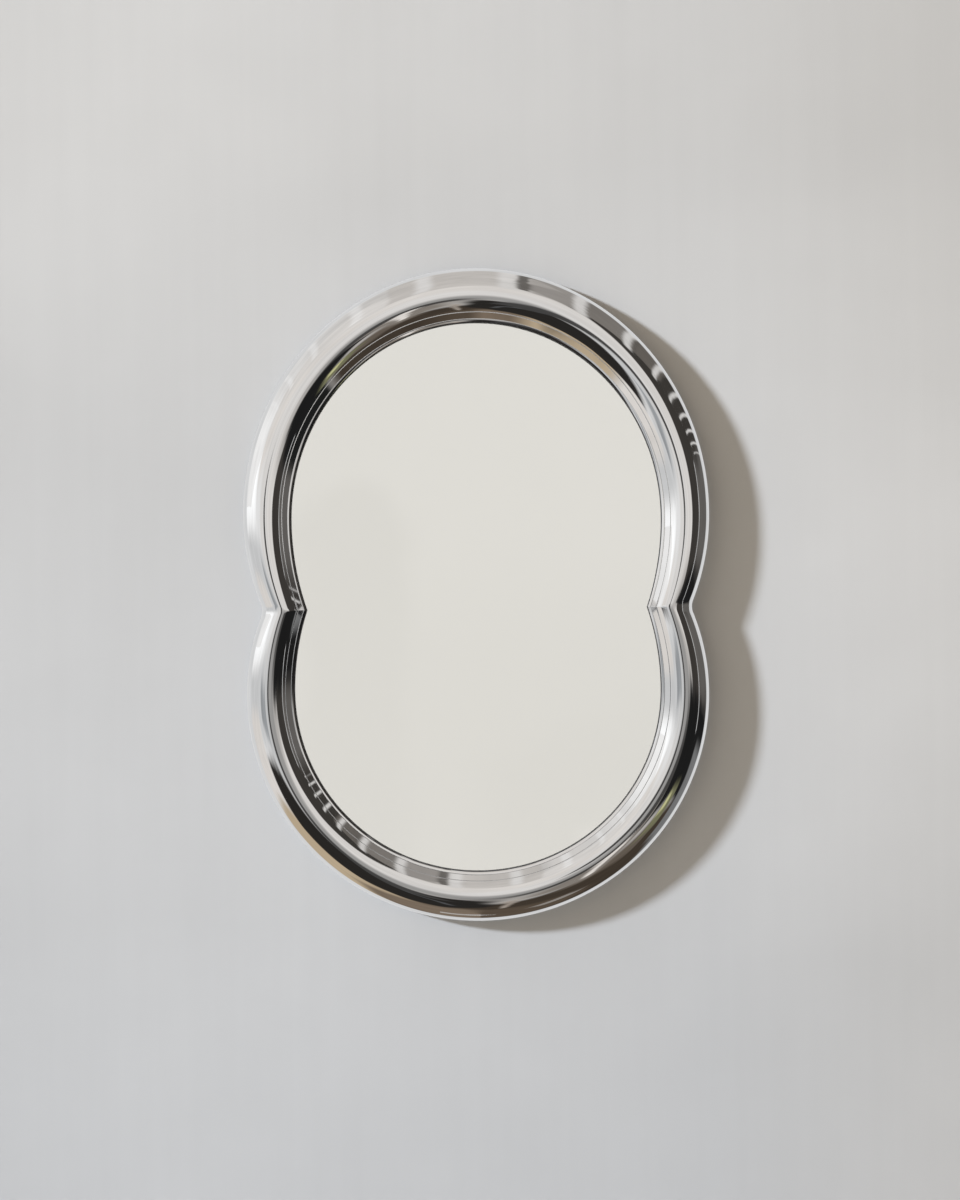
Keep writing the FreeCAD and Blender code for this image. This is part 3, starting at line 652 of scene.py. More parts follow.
def frame_section():
    """The whole section of the casting, from the rim over the roll to the glass and back."""
    s, o = chosen("section"), chosen("outline")
    rim, edge, fine = o.side_band, s.edge, s.crisp
    roll = roll_corners(0.0, s.step_margin, outer_steps=30, inner_steps=16)
    step, foot_rounding = roll[-1, 1], 0.002
    outer_bead = (s.step_margin - s.step_width, step - 0.0001)
    lip_start = (s.lip_margin - s.step_width, s.lip_depth - 0.0001)
    sight = (0.0, s.sight_depth)
    hollow_roof = roll_corners(s.wall, s.hollow, outer_steps=8, inner_steps=4)[::-1]
    front = [
        [(rim, s.back, edge)],
        roll[:-1],
        [(s.step_margin, step, fine),
         (s.step_margin - s.step_width / 2, step - s.groove, fine / 2),
         (*outer_bead, fine)],
        bead_corners(outer_bead, (s.lip_margin, s.lip_depth), s.swell, 5),
        [(s.lip_margin, s.lip_depth, fine),
         (s.lip_margin - s.step_width / 2, s.lip_depth - s.groove, fine / 2),
         (*lip_start, fine)],
        bead_corners(lip_start, sight, s.swell, 3),
        [(*sight, 2 * fine), (0.0, s.seat_depth, fine)],
    ]
    back = [
        [(s.rebate, s.seat_depth, fine), (s.rebate, s.board_seat, fine),
         (s.board_rebate, s.board_seat, fine), (s.board_rebate, s.back, edge),
         (s.hollow, s.back, edge), (s.hollow, hollow_roof[0, 1], foot_rounding)],
        hollow_roof[1:],
        [(rim - s.wall, s.back, edge)],
    ]
    front_rows = np.concatenate([np.asarray(rows, float).reshape(-1, 3) for rows in front])
    back_rows = np.concatenate([np.asarray(rows, float).reshape(-1, 3) for rows in back])
    corners = np.concatenate([front_rows, back_rows])
    section, tangents = rounded(corners)
    front_count = len(rounded(front_rows, closed=False)[0])
    return section, tangents, front_count


def margin_at(x, z):
    """The margin of points beyond a lobe's widest point, where the outline is an oval.

    Halves the range of margins until the oval of that margin passes through the point.
    """
    o = chosen("outline")
    low, high = 0 * x, 0 * x + o.side_band
    for _ in range(24):
        margin = (low + high) / 2
        part = (o.side_band - margin) / o.side_band
        upper = z > 0
        half = np.where(upper, o.upper_half_width, o.lower_half_width) - o.side_band + margin
        wide = np.where(upper, o.upper_wide, -o.lower_wide) - np.sign(z) * o.wide_shift * part
        far = np.where(upper, o.top_height - o.top_band * part,
                       -o.bottom_drop + o.bottom_band * part)
        rise = np.maximum(np.abs(z) - np.abs(wide), 0) / np.abs(far - wide)
        outside = (x / half)**2 + rise**2 > 1
        low, high = np.where(outside, margin, low), np.where(outside, high, margin)
    return (low + high) / 2


def roof_depth(x, z):
    """Depth of the hollow's roof over a point of the back."""
    s = chosen("section")
    rows = roll_corners(s.wall, s.hollow, outer_steps=40, inner_steps=12)[::-1]
    return np.interp(margin_at(x, z), rows[:, 0], rows[:, 1])


def boss(x, z, radius, seat, recess_radius, recess, columns=40):
    """A boss that stands in the hollow: a fillet to the roof, a drafted wall and a seat.

    The fillet's foot follows the roof round the boss; the wall leans in by its draft; the seat
    has a shallow round recess. Rows run from the middle of the seat outward and up to the roof.
    """
    angle = np.linspace(0, 2 * math.pi, columns, endpoint=False)
    fillet, draft, edge = 0.0016, 0.0007, 0.0004
    foot = roof_depth(x + (radius + draft + fillet) * np.cos(angle),
                      z + (radius + draft + fillet) * np.sin(angle))
    flat = [(recess_radius * 0.4, seat + recess), (recess_radius - edge, seat + recess),
            (recess_radius, seat + recess - edge * 0.3), (recess_radius + 0.0001, seat),
            (radius - edge, seat), (radius - edge * 0.3, seat + edge * 0.3),
            (radius, seat + edge)]
    radii = [r + 0 * angle for r, _ in flat]
    depths = [d + 0 * angle for _, d in flat]
    for turn in np.linspace(0, math.pi / 2, 5):
        radii.append(radius + draft + fillet * (1 - math.cos(turn)) + 0 * angle)
        depths.append(foot - fillet * (1 - math.sin(turn)))
    radii.append(radius + draft + fillet + 0.0004 + 0 * angle)
    depths.append(foot + 0.001)
    radii, depths = np.array(radii), np.array(depths)
    return np.stack([x + radii * np.cos(angle), -depths, z + radii * np.sin(angle)], 2)


def bumper_places():
    """The four bumpers, in the middle of the CAD nodes' boxes."""
    names = ["upper_left_bumper", "upper_right_bumper", "lower_left_bumper",
             "lower_right_bumper"]
    boxes = [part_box(name) for name in names]
    return {name: ((low.x + high.x) / 2, (low.z + high.z) / 2)
            for name, (low, high) in zip(names, boxes)}


def ring_axis(side):
    """The eye's axis: x of its middle, its depth off the wall and its height."""
    joint = next(j for j in frame["joints"] if j["name"] == f"{side}_ring_swing")
    x, y, z = joint["pos_m"]
    return x, -y, z


def buffed(section, tangents, front_count):
    """The section's tangents with the bead's slope eased, as the buff rounds its sharp foot."""
    s = chosen("section")
    margin = section[:, 0]
    bead = (np.arange(len(section)) < front_count) & (margin > s.painted_shade_line) & (
        margin < s.step_margin - s.step_width)
    slope = np.arctan2(-tangents[:, 1], -tangents[:, 0])
    eased = np.minimum(slope, s.bead_slope)
    turned_down = -np.stack([np.cos(eased), np.sin(eased)], 1)
    return np.where(bead[:, None], turned_down, tangents)


def strap_screw_drops():
    """How far a strap's two screws lie below its eye."""
    p = chosen("fittings")
    return p.upper_screw, p.lower_screw


def make_frame():
    """The casting: the section carried round the outline, and eight bosses in its hollow."""
    section, tangents, front_count = frame_section()
    margin = section[:, 0]
    behind = np.arange(len(section)) >= front_count
    s, o = chosen("section"), chosen("outline")
    least = np.where(behind & (margin < s.hollow), o.back_rounding, 0.0)
    place, _, lengths = swept(section, tangents, least)
    _, normals, _ = swept(section, buffed(section, tangents, front_count), least)
    # slot 2 paints shade on the lip's last millimetre, along the glass edge
    row_slots = np.where(behind, 1, np.where(margin < s.painted_shade_line, 2, 0))
    row_slots[-1] = 1
    shells = Shells().add(place, normals, lengths, closed_rows=True, row_slots=row_slots)
    for x, z in bumper_places().values():
        add_boss(shells, boss(x, z, radius=0.0085, seat=s.back, recess_radius=0.00625,
                              recess=0.0006))
    for side in ("left", "right"):
        x, _, z = ring_axis(side)
        for drop in strap_screw_drops():
            add_boss(shells, boss(x, z - drop, radius=0.0055, seat=0.007, recess_radius=0.0022,
                                  recess=0.002))
    piece = shells.build("frame_casting", [polished_metal(), cast_metal(), sight_line_metal()])
    place_on(piece, "mirror", "polished_metal", "frame")


def add_boss(shells, points):
    """Adds a boss with normals from its own grid."""
    ahead = np.roll(points, -1, 1) - np.roll(points, 1, 1)
    outward = np.gradient(points, axis=0)
    normals = np.cross(ahead, outward)
    normals /= np.linalg.norm(normals, axis=2, keepdims=True) + 1e-12
    shells.add(points, normals, slot=1, caps=(True, False))


def plate_corners(margin, back, front, edge):
    """Section of a flat plate's edge, from its back face round to its front face."""
    inside = margin - 3 * edge
    return [(inside, back, 0), (margin, back, edge), (margin, front, edge), (inside, front, 0)]


def make_glass():
    """The pane: ground at its edge, silvered on its back."""
    p = chosen("fittings")
    section, tangents = rounded(plate_corners(p.glass_margin, p.glass_back, p.glass_front,
                                              edge=0.0004), closed=False)
    place, normals, lengths = swept(section, tangents, chosen("outline").back_rounding)
    slots = np.full(len(section) - 1, 2)
    slots[-1] = 0
    shells = Shells().add(place, normals, lengths, caps=(True, True), slot=1, row_slots=slots)
    piece = shells.build("mirror_pane", [clear_glass(), silvering(), ground_glass()])
    place_on(piece, "mirror", "silvered_glass", "mirror_glass")


def make_plate(name, margin, back, front, edge, material, slot, node):
    """A flat sheet of the outline with softened edges."""
    section, tangents = rounded(plate_corners(margin, back, front, edge=edge), closed=False)
    place, normals, lengths = swept(section, tangents, chosen("outline").back_rounding)
    piece = Shells().add(place, normals, lengths, caps=(True, True)).build(name, [material])
    place_on(piece, "mirror", slot, node)


def make_board():
    """Thin foam behind the glass, and the board in its own rebate."""
    foam = rubbery("white_foam_cells", chosen("finish").foam, grain_scale=1800.0,
                   depth=0.00006, roughness=0.8)
    make_plate("foam_layer", margin=0.0035, back=0.00803, front=0.00897, edge=0.0003,
               material=foam, slot="white_foam", node="foam_sheet")
    make_plate("back_panel", margin=0.0175, back=0.005, front=0.008, edge=0.0004,
               material=fibre_board(), slot="black_board", node="backing_board")


def make_tape():
    """Foam tape between the pane's face and the underside of the lip."""
    finish, p = chosen("finish"), chosen("fittings")
    softness = 0.00015
    low = p.glass_front + 0.00002
    high = chosen("section").seat_depth - 0.00002
    corners = [(p.tape_outer, low, softness), (p.tape_outer, high, softness),
               (p.tape_inner, high, softness), (p.tape_inner, low, softness)]
    section, tangents = rounded(corners)
    place, normals, lengths = swept(section, tangents)
    material = rubbery("black_foam", finish.foam_tape, grain_scale=2600.0, depth=0.00005,
                       roughness=0.85)
    piece = Shells().add(place, normals, lengths, closed_rows=True).build("glazing_tape_band",
                                                                         [material])
    place_on(piece, "mirror", "black_foam_tape", "glazing_tape")


def make_pads():
    """Rubber pads under the glass: a rounded section carried along the lower oval by x."""
    finish, o = chosen("finish"), chosen("outline")
    p = chosen("fittings")
    material = rubbery("setting_rubber", finish.rubber, grain_scale=1500.0, depth=0.00004,
                       roughness=0.7)
    softness, set_in = 0.0003, 0.00005
    inner, low, high = p.glass_margin + 2 * set_in, p.glass_back + set_in, p.glass_front - set_in
    corners = [(p.pad_outer, low, softness), (p.pad_outer, high, softness),
               (inner, high, softness), (inner, low, softness)]
    section, _ = rounded(corners)
    margin, depth = section[:, :1], section[:, 1:]
    part = (o.side_band - margin) / o.side_band
    half = o.lower_half_width - o.side_band + margin
    wide = -o.lower_wide + o.wide_shift * part
    fall = wide + o.bottom_drop - o.bottom_band * part
    for side, sign in (("left", -1), ("right", 1)):
        x = np.linspace(p.pad_near, p.pad_far, 25)[None, ::sign] * sign
        z = wide - fall * np.sqrt(1 - (x / half)**2)
        grid = np.stack([x + 0 * z, -depth + 0 * z, z], 2).transpose(1, 0, 2)[::-1]
        piece = Shells().add(grid, caps=(True, True)).build(f"{side}_rest_pad", [material],
                                                            smooth_angle=math.radians(40))
        place_on(piece, "mirror", "setting_rubber", f"{side}_setting_pad")


def screw_grid(x, z, under, diameter, head, height, reach, turn):
    """A pan-head screw with a cross recess, from the middle of its head to its point.

    The head's top is a shallow dome. The recess is deepest in the middle and its two arms fade at
    their ends: depth times the larger of the two arms' smooth steps.
    """
    columns = 64
    angle = np.linspace(0, 2 * math.pi, columns, endpoint=False)[None, :]
    half = head / 2
    radius = np.concatenate([np.linspace(0.03, 0.72, 22), [0.82, 0.9, 0.96, 0.99, 1.0, 1.0]])
    radius = radius[:, None] * half
    crown = np.where(radius < half * 0.72, 0.12 * (radius / half)**2, 0) * height
    crown[-6:, 0] = np.array([0.12, 0.22, 0.38, 0.56, 0.75, 1.0]) * height
    across = radius * np.cos(angle + turn)
    along = radius * np.sin(angle + turn)

    def arm(side, length):
        width = np.clip((half * 0.15 - np.abs(side)) / (half * 0.05), 0, 1)
        end = np.clip((half * 0.60 - np.abs(length)) / (half * 0.12), 0, 1)
        return width * end

    recess = np.maximum(arm(across, along), arm(along, across))
    recess = recess * height * (0.75 - 0.45 * np.clip(radius / (half * 0.6), 0, 1))
    depth = under - height + crown + recess
    head_grid = np.stack([x + radius * np.cos(angle), -depth, z + radius * np.sin(angle)], 2)
    shank = diameter / 2
    tip = under + reach
    profile = np.array([(shank, under), (shank, tip - shank), (shank * 0.15, tip)])
    shank_grid = turned(x, z, profile, columns)
    return np.concatenate([head_grid, shank_grid])


def make_screws():
    """Ten board screws and four strap screws, each set as one piece."""
    finish = chosen("finish")
    board = Shells()
    for number, (x, z) in enumerate(board_screw_places()):
        board.add(screw_grid(x, z, under=0.005, diameter=0.0035, head=0.0066, height=0.0021,
                             reach=0.010, turn=number * 1.7), caps=(True, True))
    place_on(board.build("board_screw_set", [plated("zinc_plate", finish.zinc, roughness=0.3)],
                         smooth_angle=math.radians(50)), "mirror", "zinc_steel", "board_screws")
    hanger = Shells()
    for side in ("left", "right"):
        x, _, z = ring_axis(side)
        for number, drop in enumerate(strap_screw_drops()):
            hanger.add(screw_grid(x, z - drop, under=0.0058, diameter=0.004, head=0.007,
                                  height=0.0022, reach=0.010, turn=0.6 + number * 2.1),
                       caps=(True, True))
    place_on(hanger.build("hanger_screw_set", [plated("bright_zinc", finish.zinc, roughness=0.26)],
                          smooth_angle=math.radians(50)), "mirror", "zinc_steel", "hanger_screws")


def board_screw_places():
    """Ten screws round the board's edge, at the angles of the two half ovals."""
    o, margin = chosen("outline"), chosen("fittings").screw_margin
    part = (o.side_band - margin) / o.side_band
    inset = o.side_band - margin
    upper = np.radians([0, 45, 90, 135, 180])
    lower = np.radians([180, 225, 270, 315, 360])
    wide = o.upper_wide - o.wide_shift * part
    top = o.top_height - o.top_band * part
    places = [((o.upper_half_width - inset) * math.cos(a), wide + (top - wide) * math.sin(a))
              for a in upper]
    wide = -o.lower_wide + o.wide_shift * part
    bottom = -o.bottom_drop + o.bottom_band * part
    places += [((o.lower_half_width - inset) * math.cos(a), wide + (wide - bottom) * math.sin(a))
               for a in lower]
    return places


def make_bumpers():
    """Rubber buttons with a small dimple that faces the wall."""
    finish, p = chosen("finish"), chosen("fittings")
    material = rubbery("soft_rubber", finish.rubber, grain_scale=1200.0, depth=0.00003,
                       roughness=0.62)
    radius, thick = p.bumper_radius, p.bumper_thickness
    corners = [(0.0002, 0.0006, 0), (0.0011, 0.0004, 0.0003), (0.0016, 0.0, 0.0004),
               (radius, 0.0, 0.0007), (radius, thick, 0.0002), (0.0005, thick, 0)]
    profile, _ = rounded(corners, closed=False, steps=5)
    for node, centre in bumper_places().items():
        piece = Shells().add(turned(*centre, profile, columns=56), caps=(True, True)).build(
            node.replace("_bumper", "_button"), [material], smooth_angle=math.radians(45))
        place_on(piece, "mirror", "bumper_rubber", node)


def make_straps():
    """A strap: a strip with rounded edges carried along a line that curls round the ring's bar.

    The line runs up the plate and then round the eye's axis, (curl sin b, axis + curl cos b). The
    strip narrows by a circle's arc at its lower end.
    """
    finish, p = chosen("finish"), chosen("fittings")
    material = plated("nickel_plate", finish.nickel, roughness=0.2)
    plate_half, curl_half, corner, end_arc = 0.0006, 0.0005, 0.0003, 0.003
    quarter = np.linspace(0, math.pi / 2, 4)
    rim = np.array([(sx, sy, math.cos(a), math.sin(a))
                    for sx, sy in ((-1, -1), (1, -1), (1, 1), (-1, 1))
                    for a in math.atan2(sy, sx) + quarter - math.pi / 4])
    flat_up = np.concatenate([np.linspace(-p.strap_end, end_arc - p.strap_end, 12),
                              np.linspace(-0.026, -0.007, 8)])
    flat = len(flat_up)
    bend = np.radians(np.linspace(0, 322, 40))
    line_up = np.concatenate([flat_up, [-0.005, -0.003, -0.0015], p.curl_radius * np.sin(bend)])
    from_end = np.clip((line_up + p.strap_end) / end_arc, 0, 1)
    from_end[flat:] = 1
    half = p.strap_half_width - end_arc * (1 - np.sqrt(1 - (1 - from_end)**2))
    thick = np.interp(np.arange(len(line_up)), [0, flat, flat + 3],
                      [plate_half, plate_half, curl_half])
    wide = rim[:, 0][None, :] * (half[:, None] - corner) + corner * rim[:, 2][None, :]
    deep = rim[:, 1][None, :] * (thick[:, None] - corner) + corner * rim[:, 3][None, :]
    for side in ("left", "right"):
        x, axis, z = ring_axis(side)
        eased = p.strap_line - np.array([0.00002, 0.00011, 0.00018])
        line_depth = np.concatenate([np.full(flat, p.strap_line), eased,
                                     axis + p.curl_radius * np.cos(bend)])
        path = line_depth + 1j * line_up
        heading = np.gradient(path)
        heading /= np.abs(heading)
        place = path[:, None] + (heading * -1j)[:, None] * deep
        grid = np.stack([x + wide, -place.real, z + place.imag], 2)
        piece = Shells().add(grid[:, ::-1], caps=(True, True)).build(
            f"{side}_strap_plate", [material], smooth_angle=math.radians(35))
        place_on(piece, "mirror", "nickel_steel", f"{side}_hanger_strap")


def make_rings():
    """D rings: a round wire carried along a closed path with a straight bar and a round bow."""
    finish, p = chosen("finish"), chosen("fittings")
    material = plated("nickel_wire", finish.nickel, roughness=0.16)
    wire, bend = p.wire_radius, p.wire_bend
    half = p.ring_width / 2 - wire
    bow = p.ring_height - 2 * wire
    corners = [(-half, 0, bend), (half, 0, bend), (half, -bow, half), (-half, -bow, half)]
    path, tangents = rounded(corners, steps=26)
    line = path[:, 0] + 1j * path[:, 1]
    heading = tangents[:, 0] + 1j * tangents[:, 1]
    turn = np.linspace(0, 2 * math.pi, 28, endpoint=False)[None, :]
    outward = (-1j * heading)[:, None]
    place = line[:, None] + outward * wire * np.cos(turn)
    lift = wire * np.sin(turn) + 0 * place.real
    for side in ("left", "right"):
        x, axis, z = ring_axis(side)
        grid = np.stack([x + place.real, -(axis + lift), z + place.imag], 2)
        piece = Shells().add(grid[::-1], closed_rows=True).build(f"{side}_ring_wire", [material],
                                                           smooth_angle=math.radians(60))
        place_on(piece, f"{side}_ring", "nickel_steel", f"{side}_hanger_ring")


# ------------------------------------------------------------------ the stage


def plaster():
    """Pale plaster, seen only from the front: trowelled clouds, cooler lower down.

    Painted shade makes it darker lower down, at the left and toward the top right corner, and
    painted light makes it lighter to the right of the mirror, beside its shadow.
    """
    stage = chosen("stage")
    f = Finish("pale_plaster")
    place = f.coordinates()
    x, _, z = f.node("ShaderNodeSeparateXYZ", ("Vector", place)).outputs
    drift = f.noise(f.coordinates((1.0, 1.0, 1.5)), scale=2.2, detail=3.0, roughness=0.45)
    strokes = f.noise(f.coordinates((24.0, 1.0, 0.9)), scale=2.0, detail=3.0)
    cloud = f.spread(drift, (0.96, 1.04))
    streak = f.spread(strokes, (0.992, 1.008))
    # painted shade: darker lower down and toward the left
    fall = f.spread(z, (0.94, 1.05), over=(-0.6, 0.5))
    side = f.spread(x, (0.95, 1.0), over=(-0.5, 0.1))
    # a painted pool of light to the right of the mirror, beside its shadow
    beside = f.node("ShaderNodeVectorMath", (0, place), (1, (0.42, 0.0, 0.0)),
                    operation="DISTANCE").outputs["Value"]
    lit = f.spread(beside, (1.09, 1.0), over=(0.05, 0.45))
    # painted shade toward the top right corner
    corner = f.node("ShaderNodeVectorMath", (0, place), (1, (0.6, 0.0, 0.75)),
                    operation="DISTANCE").outputs["Value"]
    painted_corner_shade = f.spread(corner, (0.93, 1.0), over=(0.1, 0.6))
    # brightness: random clouds and strokes, times the painted shade and painted light above
    pale = f.math("MULTIPLY", f.math("MULTIPLY", cloud, streak), f.math("MULTIPLY", fall, side))
    pale = f.math("MULTIPLY", f.math("MULTIPLY", pale, lit), painted_corner_shade)
    cool = f.between(f.spread(z, (1.0, 0.0), over=(-0.7, 0.5)), stage.wall_colour,
                     tuple(np.multiply(stage.wall_colour, (0.97, 1.0, 1.05))))
    warm = f.between(f.spread(x, (0.0, 0.7), over=(0.25, 0.7)), cool,
                     tuple(np.multiply(stage.wall_colour, (1.01, 0.985, 0.95))))
    tone = f.node("ShaderNodeVectorMath", (0, warm), ("Scale", pale), operation="SCALE").outputs[0]
    rolled = f.noise(place, scale=160.0, detail=3.0, roughness=0.6)
    trowel = f.noise(f.coordinates((1.6, 1.0, 1.0)), scale=3.0, detail=2.0)
    uneven = f.bump(trowel, distance=0.0008)
    f.give(Base_Color=tone, Roughness=0.9, Specular_IOR_Level=0.2,
           Normal=f.bump(rolled, distance=0.00004, strength=0.5, normal=uneven))
    clear = f.node("ShaderNodeBsdfTransparent")
    facing = f.node("ShaderNodeNewGeometry").outputs["Backfacing"]
    mix = f.node("ShaderNodeMixShader", (0, facing), (1, f.surface.outputs[0]), (2, clear))
    f.set(f.output.inputs["Surface"], mix.outputs[0])
    return f.material


def make_wall():
    """The wall as rings from an opening hidden behind the mirror out to a wide rectangle."""
    inner, _ = outlines(0.047)
    angle = np.angle(inner[0])
    wide, high, low = 5.0, 2.6, chosen("stage").floor_drop
    up = np.where(np.sin(angle) > 0, high, low)
    reach = np.minimum(wide / np.maximum(np.abs(np.cos(angle)), 1e-6),
                       up / np.maximum(np.abs(np.sin(angle)), 1e-6))
    outer = reach * np.exp(1j * angle)
    part = (np.linspace(0, 1, 16)**2)[:, None]
    points = inner[0][None, :] * (1 - part) + outer[None, :] * part
    grid = np.stack([points.real, 0.0004 + 0 * points.real, points.imag], 2)
    shells = Shells().add(grid[::-1])
    wall = shells.build("wall", [plaster()], smooth_angle=math.radians(30))
    wall.visible_shadow = wall.visible_glossy = False


def make_floor():
    """A pale floor as a grid."""
    stage = chosen("stage")
    f = Finish("pale_floor")
    place = f.coordinates()
    cloud = f.noise(place, scale=2.0, detail=4.0)
    grain = f.noise(place, scale=240.0, detail=3.0)
    f.give(Base_Color=f.mottle(f.spread(cloud, (0.0, 1.0)), stage.floor_colour, 0.97, 1.03),
           Roughness=f.spread(grain, (0.75, 0.9)), Specular_IOR_Level=0.12,
           Normal=f.bump(grain, distance=0.0001, strength=0.4))
    x, y = np.meshgrid(np.linspace(-6, 6, 13), np.linspace(-6, 6, 13))
    points = np.stack([x, y, -stage.floor_drop + 0 * x], 2)
    rows, columns = x.shape
    corner = (np.arange(rows - 1)[:, None] * columns + np.arange(columns - 1)[None, :]).ravel()
    faces = np.stack([corner, corner + 1, corner + columns + 1, corner + columns], 1)
    mesh = bpy.data.meshes.new("floor")
    mesh.from_pydata(points.reshape(-1, 3), [], faces.tolist())
    mesh.materials.append(f.material)
    floor = bpy.data.objects.new("floor", mesh)
    bpy.context.scene.collection.objects.link(floor)
    floor.visible_glossy = False


class Surroundings(Finish):
    """Emission painted by direction: what the polished metal reflects.

    A spot on the sphere is (azimuth, height) in degrees, where azimuth 0 is straight ahead of the
    mirror. A spot on the ceiling's plan is (x / z, ahead / z), so straight beams stay straight.
    A spot on the level is (x, ahead) of the direction, for what lies behind the mirror's plane.
    """

    def __init__(self, name, base, strength):
        super().__init__(name)
        self.tree.nodes.remove(self.surface)
        place = self.node("ShaderNodeTexCoord").outputs["Object"]
        unit = self.node("ShaderNodeVectorMath", (0, place), operation="NORMALIZE").outputs[0]
        x, y, z = self.node("ShaderNodeSeparateXYZ", ("Vector", unit)).outputs
        degree = 180 / math.pi
        ahead = self.math("MULTIPLY", y, -1.0)
        azimuth = self.math("MULTIPLY", self.math("ARCTAN2", x, ahead), degree)
        height = self.math("MULTIPLY", self.math("ARCSINE", z), degree)
        spot = self.node("ShaderNodeCombineXYZ", (0, azimuth), (1, height)).outputs[0]
        self.sphere = self.waver(spot, unit, scale=5.0, reach=6.0)
        over = self.math("MAXIMUM", z, 0.02)
        plan = self.node("ShaderNodeCombineXYZ", (0, self.math("DIVIDE", x, over)),
                         (1, self.math("DIVIDE", ahead, over))).outputs[0]
        self.ceiling = self.waver(plan, unit, scale=9.0, reach=0.04)
        self.level = self.node("ShaderNodeCombineXYZ", (0, x), (1, ahead)).outputs[0]
        self.cloud = self.spread(self.noise(unit, scale=7.0, detail=3.0), (0.93, 1.07))
        self.strength = strength
        self.tone = self.node("ShaderNodeRGB").outputs[0]
        self.tone.default_value = (*base, 1)

    def waver(self, spot, unit, scale, reach):
        """Moves a spot a little, so that painted edges aren't ruled lines."""
        noise = self.node("ShaderNodeTexNoise", ("Vector", unit), ("Scale", scale),
                          ("Detail", 3.0)).outputs["Color"]
        shift = self.node("ShaderNodeVectorMath", (0, noise), (1, (reach, reach, 0.0)),
                          (2, (-reach / 2, -reach / 2, 0.0)), operation="MULTIPLY_ADD").outputs[0]
        return self.node("ShaderNodeVectorMath", (0, spot), (1, shift),
                         operation="ADD").outputs[0]

    def step(self, value, edge, soft):
        """A smooth step up at an edge."""
        return self.node("ShaderNodeMapRange", ("Value", value), ("From Min", edge - soft),
                         ("From Max", edge + soft), interpolation_type="SMOOTHSTEP").outputs[0]

    def card(self, corners, tone, soft, amount=1.0, on=None, bars=None):
        """Paints a convex card with soft edges, or its bars of (first, period, width) across it.

        The corners run counter-clockwise. The mask is the product of a smooth step over each side.
        """
        spot = self.sphere if on is None else on
        mask = amount
        for (x, y), (next_x, next_y) in zip(corners, corners[1:] + corners[:1]):
            run, rise = next_x - x, next_y - y
            reach = math.hypot(run, rise)
            inward = (-rise / reach, run / reach, 0.0)
            across = self.node("ShaderNodeVectorMath", (0, spot), (1, inward),
                               operation="DOT_PRODUCT").outputs["Value"]
            edge = inward[0] * x + inward[1] * y
            mask = self.math("MULTIPLY", self.step(across, edge, soft), mask)
        if bars:
            first, period, width = bars
            x = self.node("ShaderNodeSeparateXYZ", ("Vector", spot)).outputs[0]
            near = self.math("PINGPONG", self.math("SUBTRACT", x, first), period / 2)
            inside = self.math("SUBTRACT", 1.0, self.step(near, width / 2, width / 3))
            mask = self.math("MULTIPLY", mask, inside)
        self.tone = self.between(mask, self.tone, tone)

    def finish(self):
        strength = self.math("MULTIPLY", self.cloud, self.strength)
        light = self.node("ShaderNodeEmission", ("Color", self.tone), ("Strength", strength))
        self.set(self.output.inputs["Surface"], light.outputs[0])
        return self.material


def grey(level, warmth=0.0):
    """A grey of 0 to 255 on the screen, made warmer by a few levels, as linear light."""
    part = np.array([level + warmth, level, level - warmth]) / 255
    return tuple(np.where(part <= 0.04045, part / 12.92, ((part + 0.055) / 1.055)**2.4).tolist())


